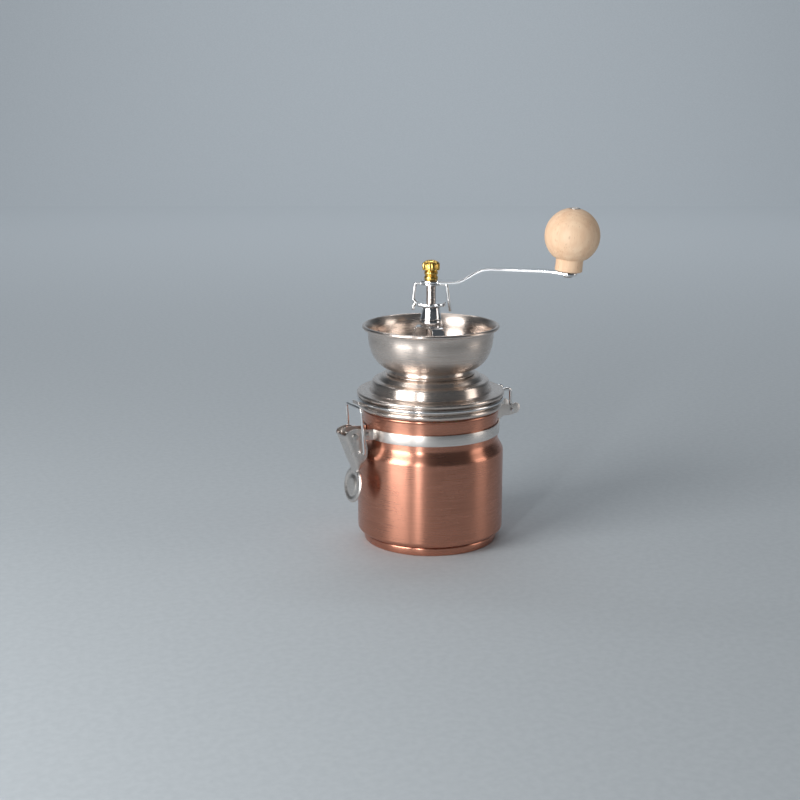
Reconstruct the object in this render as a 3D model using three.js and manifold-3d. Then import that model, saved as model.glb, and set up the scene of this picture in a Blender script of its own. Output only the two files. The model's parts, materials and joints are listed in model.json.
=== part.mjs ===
// Hand crank coffee grinder: a clip-top storage jar with a stepped lid that carries a hopper bowl,
// a conical ceramic mill and a crank. Millimetres, +Z up, origin on the jar's axis at its base.
// The clasp is on the -X side and the hinge on the +X side.
import * as THREE from "three";
import { mergeVertices } from "three/addons/utils/BufferGeometryUtils.js";
import Module from "manifold-3d";

const wasm = await Module();
wasm.setup();

// ---- Driving dimensions ----------------------------------------------------------------------

const GAP = 0.3; // clearance between pieces that touch on the real object
const ROUND = { large: 32, medium: 18, small: 10, wire: 6 }; // sides of the round shapes

const jarRadius = 50;
const jarWall = 1;
const jarNeckRadius = jarRadius - 3.8;
const jarHeight = 92.9; // top of the rolled rim
const jarRimRoll = 1.3; // radius of the rolled rim
const shoulderHeight = 9.5;
const neckHeight = 20.4; // from the top of the shoulder to the rim

const footRadius = jarRadius - 3.4;
const footSeat = footRadius - 2.4; // radius of the jar's boss that drops into the foot
const footHeight = 6;
const baseThickness = 2.2;

const bandHeight = 7.4;
const bandThickness = 0.8;
const bandBelowRim = 16.9; // from the rim's top to the band's lower edge
const bandRadius = jarNeckRadius + GAP + bandThickness;
const earThickness = 0.9;
const earInside = 5.6; // half the width between the ears
const earEndRadius = 3.9;

const rivetRadius = 1.2;
const bandRivetX = -bandRadius - 4.4;

const sheetWall = 0.9; // lid cover, hopper bowl and lever
const flangeRadius = jarRadius + 0.3;
const flangeRoll = 1.5;
const lowerTierRadius = flangeRadius - 10.1;
const lowerTierHeight = 7.4;
const upperTierRadius = lowerTierRadius - 5.6;
const upperTierHeight = 3.7;
const lidPanThickness = 1.3;
const lidEdgeRoll = 2;
const gasketThickness = 1.3;
const gasketRadius = jarNeckRadius + 0.5;
const plugDepth = 5; // of the lid's plug, below the gasket
const plugClearance = 2.2; // room that the plug needs to swing out of the neck

const ringWireRadius = 1.15;
const ringRadius = jarRadius - 0.7;
const tongueWidth = 11;
const hingeReach = bandRadius + 13.8; // hinge axis from the jar's axis
const hingeBelowRim = 7.9; // hinge axis below the jar's rim
const hingeLegSpacing = 11.2;

const leverWidth = 15.4;
const leverReach = bandRadius + 13.8; // lever pivot from the jar's axis
const leverPivotAboveBand = 0.3; // lever pivot above the band's middle
const bailWireRadius = 0.95;
const bailWidth = 22; // between the centre lines of its legs
const bailFoot = new THREE.Vector2(4.8, -12.2); // bail's foot from the lever's pivot
const bailHeight = 31.4;
const bailLean = 2.1; // how far the bail's top lies outboard of its foot
const tabHalfWidth = 12.2;
const tabHalfLength = 12;

const bowlRadius = 42.5; // outside, below the rolled rim
const bowlFootRadius = 27.5;
const bowlDepth = 22.8;
const bowlRimRadius = bowlRadius + 2.7;
const bowlRimRoll = 1.3;
const bowlRimHeight = 28.3; // rim's centre above the bowl's underside
const spoutRadius = 17.7;
const spoutLength = 7;
const throatHole = spoutRadius + GAP + 0.1;
const collarHeight = 3.7;
const collarRadius = bowlFootRadius + 2.4;

const housingRadius = 26.8;
const housingWall = 2.5;
const housingLength = 41;
const housingTopThickness = 4.5;
const burrHeight = 21; // of the cone burr
const coneBurrTopRadius = 9.5;
const burrToothDepth = 0.7;
const burrSetting = 1; // grind gap between the two burrs' teeth
const burrSides = 32; // twice the number of teeth

const shaftRadius = 3.3;
const shaftFlats = 2 * shaftRadius - 1.5; // width across the flats
const shaftThreadRadius = shaftRadius - 0.8;
const springRadius = shaftRadius + 1.7;
const lowerBushRadius = shaftRadius + 2.1;
const bushHeight = 9.2; // of the upper bush's cone
const bushAboveRim = 3.2; // cone's foot above the middle of the bowl's rim
const bushSpigotRadius = shaftRadius + 1.7;
const bushFootRadius = bushSpigotRadius + 2.3;
const bushTopRadius = bushFootRadius - 1.5;
const collarTubeHeight = 5.2; // bearing bracket's collar
const screwRadius = 1.5;
const legWidth = 9;
const legCircle = housingRadius - 4; // radius of the bracket screws' circle
const legCount = 3;
const legTurn = 27; // degrees from +X to the first leg

const discRadius = shaftRadius + 6.8;
const discThickness = 2.2;
const discNotches = 6;
const clipHeight = 12.9; // from the disc to the clip's top strip
const clipWireRadius = 1;
const clipReach = discRadius + 2.3; // clip's legs from the shaft's axis at the disc

const crankAngle = -44; // degrees from +X at rest
const armThickness = 1.6;
const armHubRadius = shaftRadius + 3.7;
const armWidth = 9;
const armReach = 92.4; // knob's axle from the shaft
const armRise = 10;
const armRiseStart = 20.5;
const armRiseEnd = 36;
const armEndSlope = 5; // degrees that the arm's end is bent down
const armEndLength = 14; // of the bent end, inboard of the axle
const armPadRadius = 6;

const nutRadius = shaftRadius + 1.3; // of its collars
const nutHeadRadius = nutRadius + 1.3;
const nutFlutes = 12;
const knobRadius = 18;
const knobNeckRadius = knobRadius / 2;
const knobCentre = knobRadius + 6.1; // centre of the ball above the arm
const axleRadius = 2.3;
const axleHeadRadius = 3.3;

// ---- Heights worked out from them ------------------------------------------------------------

const jarBottom = footHeight + 2 * GAP;
const bandBottom = jarHeight - bandBelowRim;
const bandMiddle = bandBottom + bandHeight / 2;
const leverPivot = new THREE.Vector2(-leverReach, bandMiddle + leverPivotAboveBand);
const bailPivot = leverPivot.clone().add(bailFoot);
const bailTop = bailPivot.clone().add(new THREE.Vector2(-bailLean, bailHeight));
const bandRivetZ = bandMiddle + 0.8;
const hingeZ = jarHeight - hingeBelowRim;

const gasketBottom = jarHeight + GAP;
const lidPanBottom = gasketBottom + gasketThickness + GAP;
const lidEdgeZ = lidPanBottom + 0.6;
const lidPanTop = lidEdgeZ + lidEdgeRoll + 0.7;
const ringZ = lidEdgeZ + lidEdgeRoll + ringWireRadius + 1.35;
const flangeZ = ringZ + ringWireRadius + 2 * GAP + flangeRoll;
const flangeTop = flangeZ + flangeRoll;
const lowerTierTop = flangeTop + 0.3 + lowerTierHeight;
const coverTop = lowerTierTop + upperTierHeight;
const bowlBottom = coverTop + collarHeight + GAP;
const bowlFloor = bowlBottom + sheetWall;
const bowlRimZ = bowlBottom + bowlRimHeight;

const housingTop = coverTop - sheetWall - GAP;
const housingBottom = housingTop - housingLength;
const housingBore = housingRadius - housingWall;
const housingSeat = housingBore * Math.cos(Math.PI / ROUND.medium) - GAP; // what fits in the bore
const coneBurrRadius = housingSeat - 4.6;
const burrBottom = housingBottom + 5;
const burrTop = burrBottom + burrHeight;
const spiderBottom = burrTop + 3.5;
const hubBottom = spiderBottom + 1.9;
const hubHeight = 4.2;

const coneFoot = bowlRimZ + bushAboveRim + 1.3;
const coneTop = coneFoot + bushHeight;
const collarFoot = coneFoot - GAP - collarTubeHeight;
const discBottom = coneTop + GAP;
const discTop = discBottom + discThickness;
const clipBottom = discTop + clipHeight - 1.2;
const clipTop = clipBottom + 1.2;
const armBottom = clipTop + GAP;
const armTop = armBottom + armThickness;
const shaftTop = armTop + 11;
const shaftBottom = burrBottom - 9.5;

const armEnd = armReach - armEndLength;
const knobBase = armTop + armRise - armEndLength * Math.tan(THREE.MathUtils.degToRad(armEndSlope));

// ---- Shape helpers ---------------------------------------------------------------------------

const radians = THREE.MathUtils.degToRad;

function pt(x, y) {
  return new THREE.Vector2(x, y);
}

// Points on an arc, from one angle to another in degrees, both included.
function arc(x, y, radius, from, to, steps) {
  const points = [];
  for (let i = 0; i <= steps; i++) {
    const a = radians(from + ((to - from) * i) / steps);
    points.push(pt(x + radius * Math.cos(a), y + radius * Math.sin(a)));
  }
  return points;
}

// The closed outline of a bent sheet: one face follows the points, the other lies to their left.
function sheet(points, wall) {
  const left = (a, b) => pt(a.y - b.y, b.x - a.x).normalize();
  const far = points.map((p, i) => {
    const before = i > 0 ? left(points[i - 1], p) : left(p, points[1]);
    const after = i < points.length - 1 ? left(p, points[i + 1]) : before;
    const reach = wall / (1 + before.dot(after));
    return pt(p.x + (before.x + after.x) * reach, p.y + (before.y + after.y) * reach);
  });
  return [...points, ...far.reverse()];
}

// A profile of radius and height turned round the Z axis.
function turned(profile, sides) {
  const points = THREE.ShapeUtils.area(profile) > 0 ? profile : [...profile].reverse();
  const onAxis = points.findIndex((p) => p.x === 0);
  const open = onAxis >= 0;
  const first = open ? points.findIndex((p, i) => p.x === 0 && points.at(i - 1).x === 0) : 0;
  const loop = [...points.slice(first), ...points.slice(0, first)];
  if (!open) loop.push(loop[0].clone());
  return new THREE.LatheGeometry(loop, sides).rotateX(Math.PI / 2);
}

// A ring of rectangular section.
function ring(inner, outer, bottom, top, sides) {
  return turned([pt(inner, bottom), pt(outer, bottom), pt(outer, top), pt(inner, top)], sides);
}

// An outline drawn from above, standing between two heights.
function plate(outline, bottom, top) {
  const shape = new THREE.Shape(outline);
  const options = { depth: top - bottom, bevelEnabled: false };
  return new THREE.ExtrudeGeometry(shape, options).translate(0, 0, bottom);
}

// An outline of X and Z, extruded along Y between two places.
function sideways(outline, from, to) {
  const shape = new THREE.Shape(outline);
  const options = { depth: to - from, bevelEnabled: false };
  return new THREE.ExtrudeGeometry(shape, options).rotateX(Math.PI / 2).translate(0, to, 0);
}

// A round bar along Y.
function crossBar(radius, x, z, length, sides = ROUND.small) {
  return new THREE.CylinderGeometry(radius, radius, length, sides).translate(x, 0, z);
}

// A round bar along Z.
function upright(radius, x, y, bottom, top, sides = ROUND.small) {
  const bar = new THREE.CylinderGeometry(radius, radius, top - bottom, sides);
  return bar.rotateX(Math.PI / 2).translate(x, y, (bottom + top) / 2);
}

function block(x0, x1, y0, y1, z0, z1) {
  const box = new THREE.BoxGeometry(x1 - x0, y1 - y0, z1 - z0);
  return box.translate((x0 + x1) / 2, (y0 + y1) / 2, (z0 + z1) / 2);
}

// A path through bent wire: straight runs, each inner corner rounded by the bend radius.
class WirePath extends THREE.Curve {
  constructor(corners, bend, bendSteps) {
    super();
    this.points = [corners[0]];
    for (let i = 1; i < corners.length - 1; i++) {
      const into = corners[i - 1].clone().sub(corners[i]);
      const out = corners[i + 1].clone().sub(corners[i]);
      const cut = Math.min(bend, into.length() / 2.1, out.length() / 2.1);
      const start = corners[i].clone().addScaledVector(into.normalize(), cut);
      const end = corners[i].clone().addScaledVector(out.normalize(), cut);
      const curve = new THREE.QuadraticBezierCurve3(start, corners[i], end);
      const plain = bend === 0 || into.angleTo(out) > radians(160);
      this.points.push(...(plain ? [corners[i]] : curve.getPoints(bendSteps)));
    }
    this.points.push(corners.at(-1));
  }
  getPoint(t, target = new THREE.Vector3()) {
    const at = t * (this.points.length - 1);
    const i = Math.min(Math.floor(at), this.points.length - 2);
    return target.lerpVectors(this.points[i], this.points[i + 1], at - i);
  }
  getPointAt(t, target) {
    return this.getPoint(t, target);
  }
  getTangentAt(t, target = new THREE.Vector3()) {
    const i = Math.round(t * (this.points.length - 1));
    const before = this.points[Math.max(i - 1, 0)];
    const after = this.points[Math.min(i + 1, this.points.length - 1)];
    return target.subVectors(after, before).normalize();
  }
}

// Round wire through its corner points.
function wire(corners, radius, bend, bendSteps = 3) {
  const path = new WirePath(corners, bend, bendSteps);
  const step = 360 / ROUND.wire;
  const section = new THREE.Shape(arc(0, 0, radius, 0, 360 - step, ROUND.wire - 1));
  const options = { steps: path.points.length - 1, extrudePath: path, bevelEnabled: false };
  return new THREE.ExtrudeGeometry(section, options);
}

// Points on an ellipse whose half lengths are along X and Y, from one angle to another in degrees.
function ellipse(x, halfX, halfY, from, to, steps) {
  return arc(0, 0, 1, from, to, steps).map((p) => pt(x + halfX * p.x, halfY * p.y));
}

// A geometry as a solid that can be joined and cut.
function solid(geometry) {
  const bare = geometry.index ? geometry.toNonIndexed() : geometry.clone();
  bare.deleteAttribute("normal");
  bare.deleteAttribute("uv");
  const merged = mergeVertices(bare, 1e-4);
  const vertProperties = merged.attributes.position.array;
  const triVerts = new Uint32Array(merged.index.array);
  return new wasm.Manifold(new wasm.Mesh({ numProp: 3, vertProperties, triVerts }));
}

function geometryOf(body) {
  const made = body.getMesh();
  const geometry = new THREE.BufferGeometry();
  geometry.setAttribute("position", new THREE.BufferAttribute(made.vertProperties, 3));
  geometry.setIndex(new THREE.BufferAttribute(made.triVerts, 1));
  geometry.computeVertexNormals();
  return geometry;
}

// A geometry cut down to what others hold, then joined to more, then with more cut away.
function shaped(start, { keep = [], join = [], cut = [] }) {
  let body = solid(start);
  for (const piece of keep) body = body.intersect(solid(piece));
  for (const piece of join) body = body.add(solid(piece));
  for (const piece of cut) body = body.subtract(solid(piece));
  return geometryOf(body);
}

// Copies of a shape turned about the Z axis to each of a number of even places.
function around(count, firstDegrees, make) {
  return Array.from({ length: count }, (_, i) => make().rotateZ(radians(firstDegrees + (360 * i) / count)));
}

// Two plates with an outline of X and Z, one each side of the XZ plane.
function pair(outline, inside, thickness) {
  const right = sideways(outline, inside, inside + thickness);
  const left = sideways(outline, -inside - thickness, -inside);
  return [right, left];
}

// A bar with two flats, or the hole for one, along Z.
function flattedBar(radius, flats, bottom, top) {
  const slab = block(-2 * radius, 2 * radius, -flats / 2, flats / 2, bottom - 1, top + 1);
  return shaped(upright(radius, 0, 0, bottom, top, ROUND.medium), { keep: [slab] });
}

// ---- Finishes --------------------------------------------------------------------------------

const finishes = {
  copper: [0xa8674b, 0.34, 0.95],
  satinSteel: [0xc0b3a8, 0.32, 0.95],
  bandSteel: [0xd8d0cb, 0.38, 0.9],
  chrome: [0xe6e6e8, 0.1, 1],
  brass: [0xd9a13a, 0.25, 1],
  beech: [0xe2b48c, 0.6, 0],
  ceramic: [0xefece4, 0.5, 0],
  blackPlastic: [0x26262a, 0.55, 0],
  silicone: [0xe8e4dc, 0.7, 0],
};

const grinder = new THREE.Group();
const crank = new THREE.Group();
const knob = new THREE.Group();
grinder.add(crank);
crank.add(knob);
crank.rotation.z = radians(crankAngle);
knob.position.set(armReach, 0, knobBase);
knob.rotation.y = radians(armEndSlope);

function addTo(group, name, finish, geometry) {
  const [color, roughness, metalness] = finishes[finish];
  const material = new THREE.MeshStandardMaterial({ color, roughness, metalness });
  const mesh = new THREE.Mesh(geometry, material);
  mesh.name = name;
  group.add(mesh);
}

// ---- Jar ---------------------------------------------------------------------------------------

// Canister: stepped bottom that seats in the foot, straight wall, S-shaped shoulder, rolled rim.
function jarBody() {
  const shoulderTop = jarHeight - neckHeight;
  const shoulder = [];
  for (let i = 0; i <= 5; i++) {
    const eased = THREE.MathUtils.smoothstep(i / 5, 0, 1);
    const radius = jarRadius - (jarRadius - jarNeckRadius) * eased;
    shoulder.push(pt(radius, shoulderTop - shoulderHeight * (1 - i / 5)));
  }
  const roll = arc(jarNeckRadius - 0.6, jarHeight - jarRimRoll, jarRimRoll, -50, 90, 4);
  const outside = [
    pt(0, baseThickness + GAP),
    pt(footSeat, baseThickness + GAP),
    pt(footSeat, jarBottom),
    pt(jarRadius - 3, jarBottom),
    pt(jarRadius - 0.8, jarBottom + 2.4),
    pt(jarRadius, jarBottom + 7),
    ...shoulder,
    ...roll,
  ];
  return turned(sheet(outside, jarWall), ROUND.large);
}

function baseCap() {
  const profile = [
    pt(0, 0),
    pt(footRadius - 2.2, 0),
    pt(footRadius - 1.5, 0.6),
    pt(footRadius, footHeight - 0.7),
    pt(footRadius - 0.3, footHeight),
    pt(footSeat + GAP, footHeight),
    pt(footSeat + GAP, baseThickness),
    pt(0, baseThickness),
  ];
  return turned(profile, ROUND.large);
}

// Steel strap round the jar's neck; its ends are turned out as ears that hold the lever.
function neckBand() {
  const inner = bandRadius - bandThickness;
  const top = bandBottom + bandHeight;
  const roundEnd = arc(leverPivot.x, leverPivot.y, earEndRadius, 98, 262, 7);
  const outline = [pt(-inner, bandBottom), pt(-inner, top), ...roundEnd];
  const opening = block(-bandRadius - 2, -inner + 2, -earInside, earInside, bandBottom - 1, top + 1);
  const strap = shaped(ring(inner, bandRadius, bandBottom, top, ROUND.large), { cut: [opening] });
  return shaped(strap, {
    join: pair(outline, earInside, earThickness),
    cut: [
      crossBar(rivetRadius + GAP, leverPivot.x, leverPivot.y, leverWidth),
      crossBar(rivetRadius + GAP, bandRivetX, bandRivetZ, leverWidth),
    ],
  });
}

// A rivet along Y whose domed heads stand a grip's length from the middle, one each side.
function rivet(x, z, headRadius, headThickness, grip) {
  const half = [
    pt(rivetRadius, grip),
    pt(headRadius, grip),
    pt(headRadius * 0.75, grip + headThickness * 0.75),
    pt(0, grip + headThickness),
  ];
  const mirrored = half.map((p) => pt(p.x, -p.y)).reverse();
  const upStanding = turned([...mirrored, ...half], ROUND.small);
  return upStanding.rotateX(Math.PI / 2).translate(x, 0, z);
}

// Bracket at the back of the band, whose two ears hold the ends of the lid's wire.
function hingeBracket() {
  const back = bandRadius + GAP;
  const inside = hingeLegSpacing / 2 + ringWireRadius + GAP;
  const outside = inside + earThickness;
  const root = back - 0.4; // the strap curves inwards where the ears leave it
  const low = bandBottom + 0.6;
  const high = hingeZ + 5;
  const lip = hingeZ - 3.6;
  const outline = [
    pt(root, low),
    pt(back + 7, lip),
    pt(hingeReach, lip),
    ...arc(hingeReach + 2.8, hingeZ + 1, 3.7, -80, 110, 6),
    pt(hingeReach - 2.5, hingeZ + 3.4),
    pt(hingeReach - 7, high),
    pt(root, high),
  ];
  const slice = block(0, back + 9, -outside, outside, low - 1, high + 1);
  const strap = ring(back, back + earThickness, low, high, ROUND.large);
  return shaped(shaped(strap, { keep: [slice] }), {
    join: pair(outline, inside, earThickness),
    cut: [crossBar(ringWireRadius + GAP, hingeReach, hingeZ, 4 * outside)],
  });
}

// ---- Clasp -------------------------------------------------------------------------------------

// Places on the lever, from its pivot: the outer face of its web runs from top to bottom.
const webTop = leverPivot.clone().add(pt(-7.5, 0.6));
const webBottom = leverPivot.clone().add(pt(2.5, -23.8));

// A prism along the lever's web, whose rounded section is open towards the jar.
function webPrism(halfWidth, depth, corner) {
  const along = webTop.clone().sub(webBottom);
  const length = along.length() + 60;
  const section = [
    pt(30, halfWidth),
    ...arc(depth + corner, halfWidth - corner, corner, 90, 180, 3),
    ...arc(depth + corner, corner - halfWidth, corner, 180, 270, 3),
    pt(30, -halfWidth),
  ];
  const prism = plate(section, -length / 2, length / 2);
  prism.rotateY(Math.atan2(along.x, along.y));
  return prism.translate((webTop.x + webBottom.x) / 2, 0, (webTop.y + webBottom.y) / 2);
}

// Channel with two cheeks, narrowed below into a neck and an oval thumb tab.
function claspLever() {
  const from = (x, z) => leverPivot.clone().add(pt(x, z));
  const cheek = [
    webTop,
    from(-5.6, 3.5),
    from(0, 5.3),
    from(3.6, 4.9),
    from(6.1, 2.6),
    from(8.7, -6.9),
    from(9.2, -12.2),
    from(5, -22.8),
    webBottom,
  ];
  const half = leverWidth / 2;
  const channel = shaped(sideways([...cheek].reverse(), -half, half), {
    keep: [webPrism(half, 0, 2.6)],
    cut: [webPrism(half - sheetWall, sheetWall, 2.6 - sheetWall)],
  });
  const tabFace = [
    webTop.clone().lerp(webBottom, 0.8),
    webBottom,
    from(1.8, -27.5),
    from(0.7, -34.5),
    from(-0.4, -41.5),
    from(-1.3, -46.9),
  ];
  const tabMiddle = leverPivot.y - 46.9 + tabHalfLength;
  const neck = [pt(leverPivot.y - 18, -4.6), pt(leverPivot.y - 18, 4.6)];
  const outline = [
    ...neck,
    pt(leverPivot.y - 25, 4.6),
    ...ellipse(tabMiddle, tabHalfLength, tabHalfWidth, 40, 320, 16),
    pt(leverPivot.y - 25, -4.6),
  ];
  const stencil = plate(outline, leverReach - 20, leverReach + 20).rotateY(-Math.PI / 2);
  const strip = sideways(sheet(tabFace, sheetWall), -tabHalfWidth, tabHalfWidth);
  const tab = shaped(strip, { keep: [stencil] });
  return shaped(channel, {
    join: [tab],
    cut: [
      crossBar(rivetRadius + GAP, leverPivot.x, leverPivot.y, 2 * leverWidth),
      crossBar(bailWireRadius + GAP, bailPivot.x, bailPivot.y, 2 * leverWidth),
    ],
  });
}

function bailWire() {
  const half = bailWidth / 2;
  const tip = leverWidth / 2 - sheetWall - 0.5;
  const side = (sign) => [
    new THREE.Vector3(bailPivot.x, sign * tip, bailPivot.y),
    new THREE.Vector3(bailPivot.x, sign * half, bailPivot.y),
    new THREE.Vector3(bailTop.x, sign * half, bailTop.y),
  ];
  return wire([...side(-1), ...side(1).reverse()], bailWireRadius, 2.2);
}

// ---- Lid ---------------------------------------------------------------------------------------

// Pressed cover: a flange with a rolled edge and two rounded tiers.
function lidCover() {
  const outside = [
    pt(flangeRadius - flangeRoll, flangeZ - flangeRoll),
    ...arc(flangeRadius - flangeRoll, flangeZ, flangeRoll, -45, 90, 3),
    pt(lowerTierRadius + 0.8, flangeTop + 0.3),
    pt(lowerTierRadius, flangeTop + 1),
    pt(lowerTierRadius - 1.2, lowerTierTop - 1),
    pt(lowerTierRadius - 2.2, lowerTierTop),
    pt(upperTierRadius + 0.6, lowerTierTop),
    pt(upperTierRadius, lowerTierTop + 0.6),
    pt(upperTierRadius - 1.4, coverTop - 0.9),
    pt(upperTierRadius - 2.6, coverTop),
    pt(throatHole, coverTop),
  ];
  return shaped(turned(sheet(outside, sheetWall), ROUND.large), { cut: screwHoles() });
}

// Pan under the cover: rounded outer edge, groove for the wire ring, plug that drops in the jar.
function lidBase() {
  const edge = jarRadius - 1 - lidEdgeRoll;
  const groove = ringRadius - ringWireRadius - 2 * GAP;
  const plug = jarNeckRadius - jarWall - plugClearance;
  const profile = [
    pt(housingRadius + GAP, lidPanTop - lidPanThickness),
    pt(plug - 1.1, lidPanTop - lidPanThickness),
    pt(plug - 1.1, gasketBottom - plugDepth),
    pt(plug, gasketBottom - plugDepth),
    pt(plug, lidPanBottom),
    pt(gasketRadius + GAP, lidPanBottom),
    ...arc(edge, lidEdgeZ, lidEdgeRoll, -80, 80, 5),
    pt(groove, lidPanTop - 0.4),
    pt(groove, flangeTop - sheetWall - GAP - 0.2),
    pt(groove - 1.1, flangeTop - sheetWall - GAP - 0.2),
    pt(groove - 1.1, lidPanTop),
    pt(housingRadius + GAP, lidPanTop),
  ];
  return turned(profile, ROUND.large);
}

function lidGasket() {
  const inner = jarNeckRadius - jarWall - plugClearance + GAP;
  return ring(inner, gasketRadius, gasketBottom, gasketBottom + gasketThickness, ROUND.large);
}

// Wire round the lid's groove; its two ends turn out and down and enter the hinge bracket's ears.
function lidWireRing() {
  const leg = hingeLegSpacing / 2;
  const start = THREE.MathUtils.radToDeg(Math.asin(leg / ringRadius));
  const loop = arc(0, 0, ringRadius, start, 360 - start, 30).map((p) => new THREE.Vector3(p.x, p.y, ringZ));
  const end = (sign) => [
    new THREE.Vector3(hingeReach, sign * (leg + ringWireRadius + GAP + earThickness + 1.2), hingeZ),
    new THREE.Vector3(hingeReach, sign * leg, hingeZ),
    new THREE.Vector3(hingeReach, sign * leg, ringZ),
  ];
  return wire([...end(1), ...loop, ...end(-1).reverse()], ringWireRadius, 2.4);
}

// Hook plate welded to the front of the wire ring, with an upturned lip beside the bail.
function lidTongue() {
  const root = ringRadius + ringWireRadius + GAP;
  const lip = bailTop.x + bailWireRadius + GAP;
  const underside = [
    pt(-root, ringZ - 0.5),
    pt(lip + 2, ringZ - 0.5),
    pt(lip + 0.6, ringZ),
    pt(lip, ringZ + 1.4),
    pt(lip + 0.2, ringZ + 2.6),
  ];
  return sideways(sheet([...underside].reverse(), sheetWall), -tongueWidth / 2, tongueWidth / 2);
}

// ---- Hopper and its bearing --------------------------------------------------------------------

// Holes for the bracket's screws, through everything between two heights.
function screwHoles() {
  return around(legCount, legTurn, () => {
    return upright(screwRadius + GAP, legCircle, 0, housingTop - 2 * housingTopThickness, bowlFloor + 9);
  });
}

function hopperCollar() {
  const profile = [
    pt(collarRadius - 4.5, coverTop + GAP),
    pt(collarRadius, coverTop + GAP),
    pt(collarRadius - 0.4, coverTop + 1.2),
    pt(bowlFootRadius + 0.7, bowlBottom - 0.9),
    pt(bowlFootRadius + 0.4, bowlBottom - GAP),
    pt(collarRadius - 4.5, bowlBottom - GAP),
  ];
  return turned(profile, ROUND.large);
}

// Bowl: a spout through the lid, flat floor, side of a quarter ellipse, rolled rim.
function hopperBowl() {
  const ellipseWidth = bowlRadius - bowlFootRadius;
  const sideZ = bowlBottom + bowlDepth;
  const side = (inset) => {
    const points = [];
    for (let i = 1; i <= 6; i++) {
      const a = (Math.PI / 2) * (i / 6);
      const radius = bowlFootRadius + (ellipseWidth - inset) * Math.sin(a);
      points.push(pt(radius, sideZ - (bowlDepth - inset) * Math.cos(a)));
    }
    return points;
  };
  const profile = [
    pt(spoutRadius, bowlBottom - spoutLength),
    pt(spoutRadius, bowlBottom),
    pt(bowlFootRadius, bowlBottom),
    ...side(0),
    pt(bowlRadius + 0.5, bowlRimZ - 3),
    ...arc(bowlRimRadius, bowlRimZ, bowlRimRoll, 205, 500, 6),
    pt(bowlRadius - 0.2, bowlRimZ - 2),
    ...side(sheetWall).reverse(),
    pt(bowlFootRadius, bowlFloor),
    pt(spoutRadius - sheetWall, bowlFloor),
    pt(spoutRadius - sheetWall, bowlBottom - spoutLength),
  ];
  return shaped(turned(profile, ROUND.large), { cut: screwHoles() });
}

// Collar for the upper bush on three pressed legs, whose feet stand on the bowl's floor.
function bearingBracket() {
  const footTop = bowlFloor + GAP + 1.2;
  const legTop = collarFoot + 1.1;
  const upper = [
    pt(bushSpigotRadius + GAP + 0.6, legTop),
    pt(9.6, legTop),
    pt(10.9, legTop - 1.2),
    pt(12.2, legTop - 4.2),
    pt(legCircle - 5, footTop + 2),
    pt(legCircle - 3.4, footTop),
    pt(legCircle + 3.2, footTop),
  ];
  const leg = () => sideways(sheet([...upper].reverse(), 1.1), -legWidth / 2, legWidth / 2);
  const bore = upright(bushSpigotRadius + GAP, 0, 0, collarFoot - 1, legTop + collarTubeHeight);
  const inner = bushSpigotRadius + GAP;
  const top = collarFoot + collarTubeHeight;
  return shaped(ring(inner, bushFootRadius - 0.1, collarFoot, top, ROUND.medium), {
    join: around(legCount, legTurn, leg),
    cut: [bore, ...screwHoles()],
  });
}

// Chromed cone that the adjuster disc turns on, with a spigot in the bracket's collar.
function upperBush() {
  const profile = [
    pt(shaftRadius + GAP, collarFoot),
    pt(bushSpigotRadius, collarFoot),
    pt(bushSpigotRadius, coneFoot),
    pt(bushFootRadius, coneFoot),
    pt(bushFootRadius, coneFoot + 0.5),
    pt(bushTopRadius, coneTop - 0.5),
    pt(bushTopRadius - 0.4, coneTop),
    pt(shaftRadius + GAP, coneTop),
  ];
  return turned(profile, ROUND.medium);
}

function bracketScrew() {
  const seat = bowlFloor + 2 * GAP + 1.2;
  const profile = [
    pt(0, housingTop - housingTopThickness + 0.5),
    pt(screwRadius, housingTop - housingTopThickness + 0.5),
    pt(screwRadius, seat),
    pt(2.7, seat),
    pt(2.5, seat + 1.1),
    pt(0, seat + 1.6),
  ];
  return turned(profile, ROUND.small).translate(legCircle, 0, 0);
}

// ---- Mill --------------------------------------------------------------------------------------

function burrHousing() {
  const profile = [
    pt(housingRadius, housingBottom),
    pt(housingRadius, housingTop),
    pt(throatHole, housingTop),
    pt(throatHole, housingTop - housingTopThickness),
    pt(housingBore, housingTop - housingTopThickness),
    pt(housingBore, housingBottom),
  ];
  return shaped(turned(profile, ROUND.medium), { cut: screwHoles() });
}

// A hub on three arms inside a rim, seated in the housing.
function shaftSpider() {
  const rimOuter = housingSeat;
  const arms = around(3, 90, () => block(lowerBushRadius + 1, rimOuter - 1, -2, 2, spiderBottom + 0.5, hubBottom + 2.6));
  const hub = upright(lowerBushRadius + 2.6, 0, 0, hubBottom, hubBottom + hubHeight, ROUND.medium);
  return shaped(ring(rimOuter - 1.8, rimOuter, spiderBottom, spiderBottom + 4, ROUND.medium), {
    join: [...arms, hub],
    cut: [upright(lowerBushRadius + GAP, 0, 0, hubBottom - 1, hubBottom + 9, ROUND.medium)],
  });
}

function lowerBush() {
  const flange = hubBottom + hubHeight + GAP;
  const profile = [
    pt(shaftRadius + GAP, hubBottom),
    pt(lowerBushRadius, hubBottom),
    pt(lowerBushRadius, flange),
    pt(lowerBushRadius + 1.4, flange),
    pt(lowerBushRadius + 1.4, flange + 1),
    pt(shaftRadius + GAP, flange + 1),
  ];
  return turned(profile, ROUND.medium);
}

// Teeth on one flank of a turned burr: every other edge of it is set in or out, twisted by height.
function toothed(geometry, sides, isFlank, depth) {
  const place = geometry.attributes.position;
  for (let i = 0; i < place.count; i++) {
    const [x, y, z] = [place.getX(i), place.getY(i), place.getZ(i)];
    const radius = Math.hypot(x, y);
    const step = Math.round((Math.atan2(y, x) / (2 * Math.PI)) * sides);
    if (!isFlank(radius, z) || step % 2 === 0) continue;
    const scale = (radius - depth) / radius;
    place.setXY(i, x * scale, y * scale);
  }
  return geometry;
}

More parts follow.
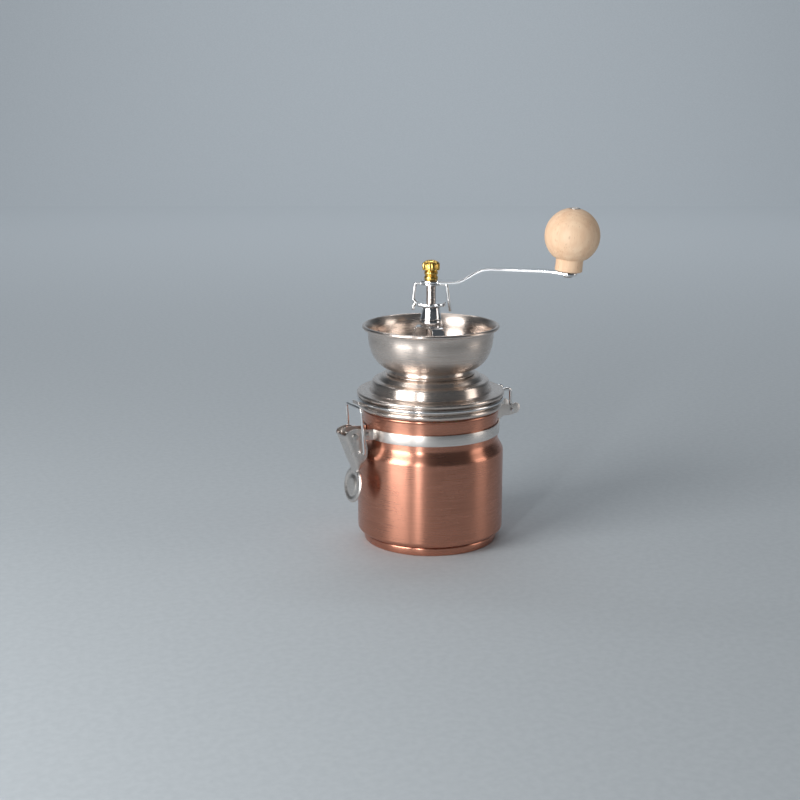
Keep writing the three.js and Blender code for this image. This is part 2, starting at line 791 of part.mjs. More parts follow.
// Fixed burr: a funnel above, a toothed cone that widens downwards below.
function ringBurr() {
  const neckZ = burrTop - 2;
  const clear = burrSetting + burrToothDepth;
  const profile = [
    pt(coneRadiusAt(burrBottom + 1.5) + clear, burrBottom + 1.5),
    pt(housingSeat, burrBottom + 1.5),
    pt(housingSeat, spiderBottom - GAP),
    pt(housingSeat - 3.4, spiderBottom - GAP),
    pt(coneRadiusAt(neckZ) + clear + 1, neckZ),
    pt(coneRadiusAt(neckZ - 7) + clear, neckZ - 7),
  ];
  const isFlank = (radius, z) => radius < housingBore - 2 && z < neckZ - 4;
  return toothed(turned(profile, burrSides), burrSides, isFlank, burrToothDepth);
}

function coneRadiusAt(z) {
  return THREE.MathUtils.mapLinear(z, burrTop, burrBottom, coneBurrTopRadius, coneBurrRadius);
}

function coneBurr() {
  const middle = (burrTop + burrBottom) / 2;
  const profile = [
    pt(0, burrBottom - 1.2),
    pt(coneBurrRadius - 3, burrBottom - 1.2),
    pt(coneBurrRadius, burrBottom),
    pt(coneRadiusAt(middle), middle),
    pt(coneBurrTopRadius, burrTop - 1),
    pt(coneBurrTopRadius - 1.2, burrTop),
    pt(0, burrTop),
  ];
  const isFlank = (radius, z) => radius > coneBurrTopRadius - 0.5 && z > burrBottom - 0.5;
  const cone = toothed(turned(profile, burrSides), burrSides, isFlank, burrToothDepth);
  return shaped(cone, {
    cut: [flattedBar(shaftRadius + GAP, shaftFlats + 2 * GAP, burrBottom - 3, burrTop + 2)],
  });
}

function burrClampRing() {
  return ring(housingSeat - 2.2, housingSeat, burrBottom - 2.2, burrBottom + 1.2, ROUND.medium);
}

function thrustSpring() {
  const wireRadius = 0.55;
  const low = burrTop + GAP + wireRadius;
  const high = hubBottom - GAP - wireRadius;
  const turns = 3;
  const steps = 8 * turns;
  const coil = [];
  for (let i = 0; i <= steps; i++) {
    const a = (2 * Math.PI * turns * i) / steps;
    const z = low + ((high - low) * i) / steps;
    coil.push(new THREE.Vector3(springRadius * Math.cos(a), springRadius * Math.sin(a), z));
  }
  return wire(coil, wireRadius, 0);
}

// ---- Crank and shaft: drawn with the arm along +X -----------------------------------------------

// Shaft: threads at both ends, flats for the cone burr, the lock clip and the arm.
function driveShaft() {
  const burrFlats = burrTop + GAP;
  const profile = [
    pt(0, shaftBottom),
    pt(shaftThreadRadius, shaftBottom),
    pt(shaftThreadRadius, burrBottom - 1.5),
    pt(shaftRadius, burrBottom - 1.5),
    pt(shaftRadius, armTop),
    pt(shaftThreadRadius, armTop),
    pt(shaftThreadRadius, shaftTop - 0.6),
    pt(shaftThreadRadius - 0.6, shaftTop),
    pt(0, shaftTop),
  ];
  const flats = (low, high) => [
    block(-9, 9, shaftFlats / 2, 9, low, high),
    block(-9, 9, -9, -shaftFlats / 2, low, high),
  ];
  return shaped(turned(profile, ROUND.medium), {
    cut: [...flats(shaftBottom, burrFlats), ...flats(clipBottom - 0.5, shaftTop)],
  });
}

function burrWasher() {
  return ring(shaftThreadRadius + GAP, shaftRadius + 4.2, burrBottom - 2.6, burrBottom - 1.5, ROUND.medium);
}

function burrNut() {
  const top = burrBottom - 2.6 - GAP;
  const nut = upright(shaftThreadRadius + 2.1, 0, 0, top - 4, top, 6);
  return shaped(nut, { cut: [upright(shaftThreadRadius + GAP, 0, 0, top - 5, top + 1)] });
}

// Notched disc that sets the grind; it rests on the upper bush.
function adjusterDisc() {
  const notch = clipWireRadius + GAP + 0.2;
  const disc = ring(shaftRadius + GAP, discRadius, discBottom, discTop, ROUND.medium);
  return shaped(disc, {
    cut: around(discNotches, 180, () => {
      return upright(notch, discRadius, 0, discBottom - 1, discTop + 1, 10);
    }),
  });
}

// Clip whose strip sits on the shaft's flats and whose leg springs into a notch of the disc.
function lockClip() {
  const top = clipReach - 1.4;
  const strip = [
    ...arc(0, 0, shaftRadius + 2.4, 30, 150, 5),
    pt(-top, 1.4),
    pt(-top, -1.4),
    ...arc(0, 0, shaftRadius + 2.4, 210, 330, 5),
    pt(top, -1.4),
    pt(top, 1.4),
  ];
  const legEnd = discBottom - 3.4;
  const z = clipTop - clipWireRadius;
  const catching = discRadius + 0.1;
  const springing = [
    new THREE.Vector3(-top + 1, 0, z),
    new THREE.Vector3(-top, 0, z),
    new THREE.Vector3(-clipReach, 0, discTop + 1.2),
    new THREE.Vector3(-catching, 0, discTop - 0.6),
    new THREE.Vector3(-clipReach, 0, discBottom - 0.6),
    new THREE.Vector3(-clipReach, 0, legEnd),
  ];
  const plain = [
    new THREE.Vector3(top - 1, 0, z),
    new THREE.Vector3(top, 0, z),
    new THREE.Vector3(clipReach + 1, 0, legEnd),
  ];
  return shaped(plate(strip, clipBottom, clipTop), {
    join: [wire(springing, clipWireRadius, 1.2), wire(plain, clipWireRadius, 1.2)],
    cut: [flattedBar(shaftRadius + GAP, shaftFlats + 2 * GAP, clipBottom - 1, clipTop + 1)],
  });
}

// Flat arm: round hub, rising bend, long level stretch, end bent down under the knob.
function crankArm() {
  const rise = armTop + armRise;
  const slope = Math.tan(radians(armEndSlope));
  const tip = armReach + armPadRadius;
  const upper = [
    pt(-armHubRadius - 1, armTop),
    pt(armRiseStart - 2, armTop),
    pt(armRiseStart + 1.5, armTop + 0.8),
    pt(armRiseEnd - 2, rise - 1),
    pt(armRiseEnd + 1.5, rise),
    pt(armEnd, rise),
    pt(tip + 1, rise - (tip + 1 - armEnd) * slope),
  ];
  const side = sideways(sheet([...upper].reverse(), armThickness), -armHubRadius, armHubRadius);
  const outline = [
    ...arc(0, 0, armHubRadius, 60, 300, 12),
    pt(armRiseStart, -armWidth / 2 - 0.6),
    pt(armRiseEnd, -armWidth / 2),
    pt(armEnd, -armWidth / 2),
    ...arc(armReach, 0, armPadRadius, -90, 90, 8),
    pt(armEnd, armWidth / 2),
    pt(armRiseEnd, armWidth / 2),
    pt(armRiseStart, armWidth / 2 + 0.6),
  ];
  const axleHole = upright(axleRadius + GAP, 0, 0, -5, 5).rotateY(radians(armEndSlope));
  return shaped(side, {
    keep: [plate(outline, armBottom - 1, rise + 1)],
    cut: [
      flattedBar(shaftRadius + GAP, shaftFlats + 2 * GAP, armBottom - 1, armTop + 1),
      axleHole.translate(armReach, 0, knobBase),
    ],
  });
}

// Brass nut: two round collars under a fluted head with a domed top.
function crownNut() {
  const base = armTop + GAP;
  const bore = shaftThreadRadius + GAP;
  const head = base + 6.7;
  const collars = [
    pt(0, base),
    pt(nutRadius, base),
    pt(nutRadius, base + 2.4),
    pt(nutRadius - 0.7, base + 2.8),
    pt(nutRadius - 0.7, base + 3.5),
    pt(nutRadius, base + 3.9),
    pt(nutRadius, base + 5.6),
    pt(nutRadius - 0.7, base + 6),
    pt(nutRadius - 0.7, base + 6.9),
    pt(0, base + 6.9),
  ];
  const flutes = [];
  for (let i = 0; i < nutFlutes * 3; i++) {
    const a = (2 * Math.PI * i) / (nutFlutes * 3);
    const radius = nutHeadRadius - 0.6 * Math.max(0, -Math.cos(nutFlutes * a));
    flutes.push(pt(radius * Math.cos(a), radius * Math.sin(a)));
  }
  const dome = [
    pt(0, head - 1),
    pt(nutHeadRadius + 1, head - 1),
    pt(nutHeadRadius + 0.3, head + 4.8),
    pt(nutHeadRadius - 1.3, head + 6),
    pt(nutHeadRadius - 3.6, head + 7.3),
    pt(0, head + 7.7),
  ];
  const crown = shaped(plate(flutes, head, head + 8), { keep: [turned(dome, ROUND.medium)] });
  return shaped(turned(collars, ROUND.medium), {
    join: [crown],
    cut: [upright(bore, 0, 0, base - 1, shaftTop + GAP)],
  });
}

// ---- Knob: drawn from the top of the arm's end, with the axle along +Z ---------------------------

function knobAxle() {
  const seat = knobCentre + Math.sqrt(knobRadius ** 2 - axleHeadRadius ** 2) - 0.9;
  const under = -armThickness - GAP;
  const profile = [
    pt(0, under - 1.4),
    pt(2.2, under - 1.4),
    pt(axleHeadRadius, under - 0.6),
    pt(axleHeadRadius, under),
    pt(axleRadius, under),
    pt(axleRadius, seat),
    pt(axleHeadRadius, seat),
    pt(axleHeadRadius, seat + 1),
    pt(axleHeadRadius - 1, seat + 1.6),
    pt(0, seat + 1.9),
  ];
  return turned(profile, ROUND.small);
}

function knobWasher() {
  return ring(axleRadius + GAP, 5, GAP, GAP + 0.5, ROUND.small);
}

// Turned ball with a neck, bored for the axle and its head.
function knobBall() {
  const bore = axleRadius + GAP;
  const foot = 2 * GAP + 0.5;
  const neckTop = knobNeckRadius + 0.6;
  const from = -THREE.MathUtils.radToDeg(Math.acos(neckTop / knobRadius));
  const headBore = axleHeadRadius + GAP;
  const to = THREE.MathUtils.radToDeg(Math.acos(headBore / knobRadius));
  const headSeat = knobCentre + Math.sqrt(knobRadius ** 2 - axleHeadRadius ** 2) - 0.9 - GAP;
  const profile = [
    pt(bore, foot),
    pt(knobNeckRadius - 0.5, foot),
    pt(knobNeckRadius, foot + 0.5),
    ...arc(0, knobCentre, knobRadius, from, to, 12),
    pt(headBore, headSeat),
    pt(bore, headSeat),
  ];
  return turned(profile, ROUND.medium);
}

// ---- Assembly ----------------------------------------------------------------------------------

addTo(grinder, "jar_body", "copper", jarBody());
addTo(grinder, "base_cap", "copper", baseCap());
addTo(grinder, "neck_band", "bandSteel", neckBand());
addTo(grinder, "band_rivet", "satinSteel", rivet(bandRivetX, bandRivetZ, 1.9, 0.8, earInside + earThickness + GAP));
addTo(grinder, "hinge_bracket", "bandSteel", hingeBracket());
addTo(grinder, "lever_rivet", "satinSteel", rivet(leverPivot.x, leverPivot.y, 2.3, 0.55, leverWidth / 2 + GAP));

addTo(grinder, "clasp_lever", "bandSteel", claspLever());
addTo(grinder, "bail_wire", "chrome", bailWire());

addTo(grinder, "lid_cover", "satinSteel", lidCover());
addTo(grinder, "lid_base", "satinSteel", lidBase());
addTo(grinder, "lid_gasket", "silicone", lidGasket());
addTo(grinder, "lid_wire_ring", "chrome", lidWireRing());
addTo(grinder, "lid_tongue", "bandSteel", lidTongue());
addTo(grinder, "hopper_collar", "satinSteel", hopperCollar());
addTo(grinder, "hopper_bowl", "satinSteel", hopperBowl());
addTo(grinder, "bearing_bracket", "chrome", bearingBracket());
addTo(grinder, "upper_bush", "chrome", upperBush());
around(legCount, legTurn, bracketScrew).forEach((screw, i) => {
  addTo(grinder, `bracket_screw_${i + 1}`, "satinSteel", screw);
});
addTo(grinder, "burr_housing", "blackPlastic", burrHousing());
addTo(grinder, "shaft_spider", "blackPlastic", shaftSpider());
addTo(grinder, "lower_bush", "brass", lowerBush());
addTo(grinder, "ring_burr", "ceramic", ringBurr());
addTo(grinder, "burr_clamp_ring", "blackPlastic", burrClampRing());

addTo(crank, "drive_shaft", "chrome", driveShaft());
addTo(crank, "thrust_spring", "satinSteel", thrustSpring());
addTo(crank, "cone_burr", "ceramic", coneBurr());
addTo(crank, "burr_washer", "satinSteel", burrWasher());
addTo(crank, "burr_nut", "satinSteel", burrNut());
addTo(crank, "adjuster_disc", "chrome", adjusterDisc());
addTo(crank, "lock_clip", "chrome", lockClip());
addTo(crank, "crank_arm", "chrome", crankArm());
addTo(crank, "crown_nut", "brass", crownNut());
addTo(knob, "knob_axle", "satinSteel", knobAxle());
addTo(knob, "knob_washer", "satinSteel", knobWasher());
addTo(knob, "knob_ball", "beech", knobBall());

export default grinder;
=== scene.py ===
"""Looks of a hand crank coffee grinder: clip-top jar, stepped lid, hopper bowl, ceramic mill, crank.

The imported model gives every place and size. Lengths below are in millimetres unless they say
otherwise; the clasp is on the -X side and the hinge on the +X side.
"""
import json
import math

import bpy
from mathutils import Matrix, Vector

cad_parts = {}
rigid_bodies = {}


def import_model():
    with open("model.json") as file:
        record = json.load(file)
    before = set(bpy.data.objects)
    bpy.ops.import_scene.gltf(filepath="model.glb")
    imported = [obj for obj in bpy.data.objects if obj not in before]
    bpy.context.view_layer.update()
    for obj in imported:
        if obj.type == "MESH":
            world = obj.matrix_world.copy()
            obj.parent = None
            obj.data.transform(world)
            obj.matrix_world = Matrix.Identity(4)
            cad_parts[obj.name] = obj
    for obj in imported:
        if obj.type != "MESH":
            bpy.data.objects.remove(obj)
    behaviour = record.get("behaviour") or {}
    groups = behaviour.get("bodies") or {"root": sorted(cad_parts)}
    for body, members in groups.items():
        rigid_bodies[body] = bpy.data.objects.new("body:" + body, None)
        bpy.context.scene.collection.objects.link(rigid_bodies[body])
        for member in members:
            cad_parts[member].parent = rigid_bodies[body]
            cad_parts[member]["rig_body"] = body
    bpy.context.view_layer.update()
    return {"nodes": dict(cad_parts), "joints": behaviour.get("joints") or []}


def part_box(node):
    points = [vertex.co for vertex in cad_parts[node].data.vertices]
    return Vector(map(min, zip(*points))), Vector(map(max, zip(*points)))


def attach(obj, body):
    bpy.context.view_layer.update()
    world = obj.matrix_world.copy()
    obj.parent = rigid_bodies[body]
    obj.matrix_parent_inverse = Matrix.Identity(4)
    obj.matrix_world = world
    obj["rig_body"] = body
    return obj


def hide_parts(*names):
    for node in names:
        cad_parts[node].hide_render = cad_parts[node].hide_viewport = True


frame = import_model()

MM = 0.001
GAP = 0.3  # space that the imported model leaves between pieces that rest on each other
SHEET = 0.9  # thickness of the pressed sheet of jar, lid, bowl, clasp and hinge


def low(node):
    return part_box(node)[0] / MM


def high(node):
    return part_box(node)[1] / MM


def heights(node):
    """Lowest and highest level of a node."""
    return low(node).z, high(node).z


# ---- Drawing helpers ----


def arc(x, z, radius, start, end, steps):
    """Points on an arc, from one angle to another in degrees."""
    angles = [math.radians(start + (end - start) * i / steps) for i in range(steps + 1)]
    return [(x + radius * math.cos(a), z + radius * math.sin(a)) for a in angles]


def rounded(points, bend, steps=5):
    """The same line with each inner corner turned into a curve; bend is one length or one a corner."""
    points = [Vector(p) for p in points]
    bends = bend if isinstance(bend, (list, tuple)) else [bend] * (len(points) - 2)
    line = [points[0]]
    for before, corner, after, size in zip(points, points[1:], points[2:], bends):
        if size == 0:
            line.append(corner)
            continue
        into, out = before - corner, after - corner
        size = min(size, into.length / 2.02, out.length / 2.02)
        start = corner + into.normalized() * size
        end = corner + out.normalized() * size
        for i in range(steps + 1):
            t = i / steps
            line.append(start * (1 - t) ** 2 + corner * (2 * t * (1 - t)) + end * t**2)
    line.append(points[-1])
    return [tuple(p) for p in line]


def sheet(points, wall):
    """The closed outline of a bent sheet whose far face lies to the left of the points."""
    far = []
    for i, p in enumerate(points):
        sides = []
        for a, b in ((i - 1, i), (i, i + 1)):
            if 0 <= a and b < len(points):
                run = Vector(points[b]) - Vector(points[a])
                sides.append(Vector((-run.y, run.x)).normalized())
        before, after = sides[0], sides[-1]
        reach = wall / (1 + before.dot(after))
        far.append(tuple(Vector(p) + (before + after) * reach))
    return [*points, *reversed(far), points[0]]


def begin(name, at):
    """A new mesh that is one selected point, in edit mode, with its object at the origin."""
    bpy.ops.object.select_all(action="DESELECT")
    bpy.ops.mesh.primitive_plane_add(size=MM, location=Vector(at) * MM)
    bpy.context.object.name = name
    bpy.ops.object.transform_apply(location=True, rotation=True, scale=True)
    mode("EDIT")
    bpy.ops.mesh.select_mode(type="VERT")
    bpy.ops.mesh.select_all(action="SELECT")
    bpy.ops.mesh.merge(type="CENTER")
    return bpy.context.object


def draw(name, points):
    """A chain of edges through the points, drawn by extruding its end; it is left selected."""
    piece = begin(name, points[0])
    for a, b in zip(points, points[1:]):
        extrude(*(Vector(b) - Vector(a)))
    bpy.ops.mesh.select_all(action="SELECT")
    return piece


def extrude(x, y, z):
    """Extrudes what is selected by a step in millimetres."""
    step = {"value": (x * MM, y * MM, z * MM)}
    bpy.ops.mesh.extrude_region_move(TRANSFORM_OT_translate=step)


def mode(kind):
    bpy.ops.object.mode_set(mode=kind)


def polar(radius, degrees):
    return radius * math.cos(math.radians(degrees)), radius * math.sin(math.radians(degrees))


def section(inner, outer, low_z, high_z):
    """Closed section of a plain ring."""
    return [(inner, low_z), (outer, low_z), (outer, high_z), (inner, high_z), (inner, low_z)]


def close_up():
    """Merges what meets and points every face outwards."""
    bpy.ops.mesh.select_all(action="SELECT")
    bpy.ops.mesh.remove_doubles(threshold=2e-6)
    bpy.ops.mesh.normals_make_consistent(inside=False)
    mode("OBJECT")


def apply_modifier(piece, kind, **settings):
    bpy.context.view_layer.objects.active = piece
    modifier = piece.modifiers.new(kind.lower(), kind)
    for key, value in settings.items():
        setattr(modifier, key, value)
    bpy.ops.object.modifier_apply(modifier=modifier.name)


def soften(piece, width, limit=32, segments=3):
    """Rounds the edges that are sharper than the limit, then shades the piece smooth."""
    if width:
        angle = math.radians(limit)
        settings = {"width": width * MM, "segments": segments, "limit_method": "ANGLE"}
        apply_modifier(piece, "BEVEL", angle_limit=angle, **settings)
    shade(piece)
    return piece


def choose(*pieces):
    """Selects these pieces and nothing else, the first as the active one."""
    bpy.ops.object.select_all(action="DESELECT")
    for piece in pieces:
        piece.select_set(True)
    bpy.context.view_layer.objects.active = pieces[0]


def shade(piece, angle=38):
    choose(piece)
    bpy.ops.object.shade_smooth_by_angle(angle=math.radians(angle))


def lathe(name, profile, steps=96, soft=0.15, at=(0, 0, 0), axis="Z"):
    """Spins a profile of radius and height round an upright axis, or one along Y."""
    at = Vector(at)
    if axis == "Z":
        points = [at + Vector((r, 0, h)) for r, h in profile]
        line = (0, 0, 1)
    else:
        points = [at + Vector((r, h, 0)) for r, h in profile]
        line = (0, 1, 0)
    piece = draw(name, points)
    bpy.ops.mesh.spin(steps=steps, angle=2 * math.pi, center=at * MM, axis=line)
    close_up()
    return soften(piece, soft)


def slab(name, outline, bottom, top, soft=0.25, segments=3):
    """A flat outline drawn from above, filled and extruded between two heights."""
    ends = [(*p, bottom) for p in outline]
    piece = draw(name, ends)
    bpy.ops.mesh.edge_face_add()
    extrude(0, 0, top - bottom)
    close_up()
    return soften(piece, soft, 50, segments)


def bent_wire(name, corners, radius, bend=0, sides=3, steps=6):
    """Round wire through its corners, each bent to a curve, with slightly rounded ends."""
    route = rounded(corners, bend, steps) if bend else corners
    piece = draw(name, route)
    mode("OBJECT")
    bpy.ops.object.convert(target="CURVE")
    piece = bpy.context.object
    piece.data.bevel_depth = radius * MM
    piece.data.bevel_resolution = sides
    piece.data.use_fill_caps = True
    bpy.ops.object.convert(target="MESH")
    piece = bpy.context.object
    piece.name = name
    mode("EDIT")
    close_up()
    return soften(piece, radius * 0.3, 60)


def strip(name, stations, thickness, across=1, soft=0.2):
    """Flat strip along X: each station is x, z and half its width; the thickness goes below."""
    x, z, half = stations[0]
    width = [(x, half * (2 * i / across - 1), z) for i in range(across + 1)]
    piece = draw(name, width)
    for (x0, z0, w0), (x1, z1, w1) in zip(stations, stations[1:]):
        extrude(x1 - x0, 0, z1 - z0)
        centre = (x1 * MM, 0, z1 * MM)
        bpy.ops.transform.resize(value=(1, w1 / w0, 1), center_override=centre)
    close_up()
    faces = piece.data.polygons
    if sum(f.normal.z * f.area for f in faces) < 0:
        piece.data.flip_normals()
    apply_modifier(piece, "SOLIDIFY", thickness=thickness * MM, offset=-1)
    return soften(piece, soft, 40)


def settle(piece):
    """Puts the object's own turn and place into its mesh."""
    choose(piece)
    bpy.ops.object.transform_apply(location=True, rotation=True, scale=True)
    return piece


def turned_to(piece, degrees):
    piece.rotation_euler.z = math.radians(degrees)
    return settle(piece)


def join(name, *pieces):
    choose(*pieces)
    bpy.ops.object.join()
    pieces[0].name = pieces[0].data.name = name
    return pieces[0]


def finish(piece, node, material):
    """Gives a piece its material, puts it on its CAD node's body, and hides that node so the piece stands for
    it.
    """
    piece.data.materials.clear()
    piece.data.materials.append(material)
    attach(piece, frame["nodes"][node]["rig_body"])
    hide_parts(node)


# ---- Node groups ----


def new_group(name, inputs, outputs):
    """An empty shader group: inputs are names with their usual values, a vector's is None."""
    tree = bpy.data.node_groups.new(name, "ShaderNodeTree")
    for label, value in inputs.items():
        kind = "NodeSocketVector" if value is None else "NodeSocketFloat"
        socket = tree.interface.new_socket(name=label, in_out="INPUT", socket_type=kind)
        if value is not None:
            socket.default_value = value
    for label in outputs:
        tree.interface.new_socket(name=label, in_out="OUTPUT", socket_type="NodeSocketFloat")
    return tree, tree.nodes.new("NodeGroupInput"), tree.nodes.new("NodeGroupOutput")


def add(tree, kind, settings=None, **links):
    """A node with its settings; each link or value goes to the input of that name."""
    node = tree.nodes.new(kind)
    for key, value in (settings or {}).items():
        setattr(node, key, value)
    for key, value in links.items():
        name = key.replace("_", " ")
        socket = node.inputs[int(key[1:])] if key[0] == "i" and key[1:].isdigit() else node.inputs[name]
        if isinstance(value, bpy.types.NodeSocket):
            tree.links.new(value, socket)
        else:
            socket.default_value = value
    return node


def maths(tree, operation, a, b):
    return add(tree, "ShaderNodeMath", {"operation": operation}, i0=a, i1=b).outputs[0]


def times(tree, a, b):
    return maths(tree, "MULTIPLY", a, b)


def vector_maths(tree, operation, a, **links):
    return add(tree, "ShaderNodeVectorMath", {"operation": operation}, i0=a, **links).outputs


def noise(tree, vector, scale=1.0, detail=2.0, roughness=0.5):
    settings = {"Vector": vector, "Scale": scale, "Detail": detail, "Roughness": roughness}
    return add(tree, "ShaderNodeTexNoise", **settings).outputs


def spread(tree, value, low_in, high_in, low_out=0.0, high_out=1.0):
    links = {"Value": value, "From_Min": low_in, "From_Max": high_in, "To_Min": low_out, "To_Max": high_out}
    return add(tree, "ShaderNodeMapRange", **links).outputs["Result"]


def joined(tree, x, y, z):
    return add(tree, "ShaderNodeCombineXYZ", X=x, Y=y, Z=z).outputs[0]


def turned_brushing():
    """Fine lines round the Z axis of the vector, on upright and on level faces alike."""
    inputs = {"Vector": None, "Lines": 5200.0, "Arc": 1.6}
    tree, given, out = new_group("turned_brushing", inputs, ["Lines", "Bands"])
    axes = add(tree, "ShaderNodeSeparateXYZ", Vector=given.outputs["Vector"]).outputs
    flat = joined(tree, axes[0], axes[1], 0.0)
    radius = vector_maths(tree, "LENGTH", flat)["Value"]
    around = vector_maths(tree, "NORMALIZE", flat)["Vector"]
    turn = add(tree, "ShaderNodeSeparateXYZ", Vector=around).outputs
    run = maths(tree, "ADD", axes[2], radius)
    slow = [times(tree, turn[i], given.outputs["Arc"]) for i in range(2)]
    for label, share, detail in (("Lines", 1.0, 3.0), ("Bands", 0.12, 2.0)):
        fine = times(tree, given.outputs["Lines"], share)
        place = joined(tree, *slow, times(tree, run, fine))
        tree.links.new(noise(tree, place, 1.0, detail, 0.6)[0], out.inputs[label])
    return tree


def long_brushing():
    """Fine lines along the X axis of the vector."""
    inputs = {"Vector": None, "Lines": 4200.0, "Stretch": 0.02}
    tree, given, out = new_group("long_brushing", inputs, ["Lines", "Bands"])
    axes = add(tree, "ShaderNodeSeparateXYZ", Vector=given.outputs["Vector"]).outputs
    for label, share in (("Lines", 1.0), ("Bands", 0.15)):
        fine = times(tree, given.outputs["Lines"], share)
        slow = times(tree, fine, given.outputs["Stretch"])
        place = joined(tree, *[times(tree, axis, rate) for axis, rate in zip(axes, (slow, fine, fine))])
        tree.links.new(noise(tree, place, 1.0, 2.0, 0.6)[0], out.inputs[label])
    return tree


def handling_marks():
    """Smudges of handling and sparse thin scratches, both from 0 to 1."""
    inputs = {"Vector": None, "Smudge Scale": 45.0, "Scratch Scale": 420.0}
    tree, given, out = new_group("handling_marks", inputs, ["Smudges", "Scratches"])
    vector = given.outputs["Vector"]
    scale = given.outputs["Smudge Scale"]
    soft = noise(tree, vector, scale, 4.0, 0.55)
    smudges = spread(tree, soft[0], 0.38, 0.68)
    bent = noise(tree, vector, 30.0, 1.0)
    shift = vector_maths(tree, "SCALE", bent["Color"], Scale=0.004)
    moved = vector_maths(tree, "ADD", vector, i1=shift[0])[0]
    links = {"Vector": moved, "Scale": given.outputs["Scratch Scale"]}
    cells = add(tree, "ShaderNodeTexVoronoi", {"feature": "DISTANCE_TO_EDGE"}, **links)
    lines = spread(tree, cells.outputs["Distance"], 0.0, 0.02, 1.0, 0.0)
    sparse = noise(tree, vector, 160.0, 1.0)
    gate = spread(tree, sparse[0], 0.58, 0.66)
    tree.links.new(smudges, out.inputs["Smudges"])
    tree.links.new(times(tree, lines, gate), out.inputs["Scratches"])
    return tree


def painted_edge_highlight_and_hollow_shade():
    """Masks from the mesh's pointiness: where sharp edges get a painted highlight, and where hollows get
    painted shade.
    """
    tree, given, out = new_group("painted_edge_highlight_and_hollow_shade", {"Spread": 0.06}, ["Edges", "Painted Hollow Shade"])
    shape = add(tree, "ShaderNodeNewGeometry").outputs["Pointiness"]
    above = maths(tree, "ADD", 0.5, given.outputs["Spread"])
    below = maths(tree, "SUBTRACT", 0.5, given.outputs["Spread"])
    tree.links.new(spread(tree, shape, 0.51, above), out.inputs["Edges"])
    tree.links.new(spread(tree, shape, 0.49, below), out.inputs["Painted Hollow Shade"])
    return tree


GROUPS = {
    "turned": turned_brushing(),
    "long": long_brushing(),
    "marks": handling_marks(),
    "edges": painted_edge_highlight_and_hollow_shade(),
}


def place_group(tree, key, **links):
    return add(tree, "ShaderNodeGroup", {"node_tree": GROUPS[key]}, **links).outputs


# ---- Finishes ----


def new_material(name, **constants):
    material = bpy.data.materials.new(name)
    material.use_nodes = True
    tree = material.node_tree
    shader = tree.nodes["Principled BSDF"]
    for key, value in constants.items():
        shader.inputs[key.replace("_", " ")].default_value = value
    return material, tree, shader


def object_place(tree, centre=(0, 0, 0), turn=(0, 0, 0)):
    """Object coordinates counted from a centre in millimetres, turned by angles in degrees."""
    raw = add(tree, "ShaderNodeTexCoord").outputs["Object"]
    shifted = vector_maths(tree, "SUBTRACT", raw, i1=Vector(centre) * MM)[0]
    angles = [math.radians(a) for a in turn]
    return add(tree, "ShaderNodeMapping", Vector=shifted, Rotation=angles).outputs[0]


def mix(tree, share, a, b):
    node = tree.nodes.new("ShaderNodeMix")
    node.data_type = "RGBA"
    for socket, value in ((node.inputs[0], share), (node.inputs[6], a), (node.inputs[7], b)):
        if isinstance(value, bpy.types.NodeSocket):
            tree.links.new(value, socket)
        else:
            socket.default_value = value
    return node.outputs[2]


def shade_of(color, factor):
    return (*[c * factor for c in color[:3]], 1.0)


def surface(tree, shader, color, rough, height, strength, distance=0.00002):
    """Gives a shader its colour, its roughness and its fine relief."""
    relief = add(tree, "ShaderNodeBump", Height=height, Strength=strength, Distance=distance)
    for name, value in (("Base Color", color), ("Roughness", rough), ("Normal", relief.outputs[0])):
        tree.links.new(value, shader.inputs[name])


def metal(name, color, roughness, brushing="turned", lines=1.0, contrast=0.16, depth=0.25,
          turn=(0, 0, 0), smudge=0.06, anisotropy=0.0, density=5200.0, hollow_shade=0.35):
    """Metal with its brushing, a painted highlight on its sharp edges, painted shade in its hollows, smudges
    of handling and thin scratches.
    """
    quarter = 0.25 if brushing == "turned" else 0.0
    material, tree, shader = new_material(
        name, Metallic=1.0, Anisotropic=anisotropy, Anisotropic_Rotation=quarter
    )
    vector = object_place(tree, turn=turn)
    brushed = place_group(tree, brushing, Vector=vector, Lines=density)
    marks = place_group(tree, "marks", Vector=vector)
    edges = place_group(tree, "edges")
    fine, broad = times(tree, brushed["Lines"], 0.65), times(tree, brushed["Bands"], 0.35)
    both = maths(tree, "ADD", fine, broad)
    streaks = spread(tree, both, 0.36, 0.64)
    dark, light = shade_of(color, 1.0 - contrast), shade_of(color, min(1.0 + contrast * 0.6, 1.25))
    tone = mix(tree, streaks, dark, light)
    tone = mix(tree, times(tree, marks["Smudges"], 0.12), tone, shade_of(color, 0.8))
    # Painted shade: the hollows are darkened towards a third of the colour, by the given strength.
    tone = mix(tree, times(tree, edges["Painted Hollow Shade"], hollow_shade), tone, shade_of(color, 0.35))
    # Painted highlight: sharp edges are brightened.
    tone = mix(tree, times(tree, edges["Edges"], 0.4), tone, shade_of(color, 1.2))
    rough = spread(tree, streaks, 0.0, 1.0, roughness + 0.05 * lines, roughness - 0.04 * lines)
    rough = maths(tree, "ADD", rough, times(tree, marks["Smudges"], smudge))
    rough = maths(tree, "ADD", rough, times(tree, marks["Scratches"], 0.12))
    height = maths(tree, "SUBTRACT", both, times(tree, marks["Scratches"], 0.5))
    surface(tree, shader, tone, rough, height, depth)
    if anisotropy and brushing == "turned":
        tangent = add(tree, "ShaderNodeTangent", {"direction_type": "RADIAL", "axis": "Z"})
        tree.links.new(tangent.outputs[0], shader.inputs["Tangent"])
    return material


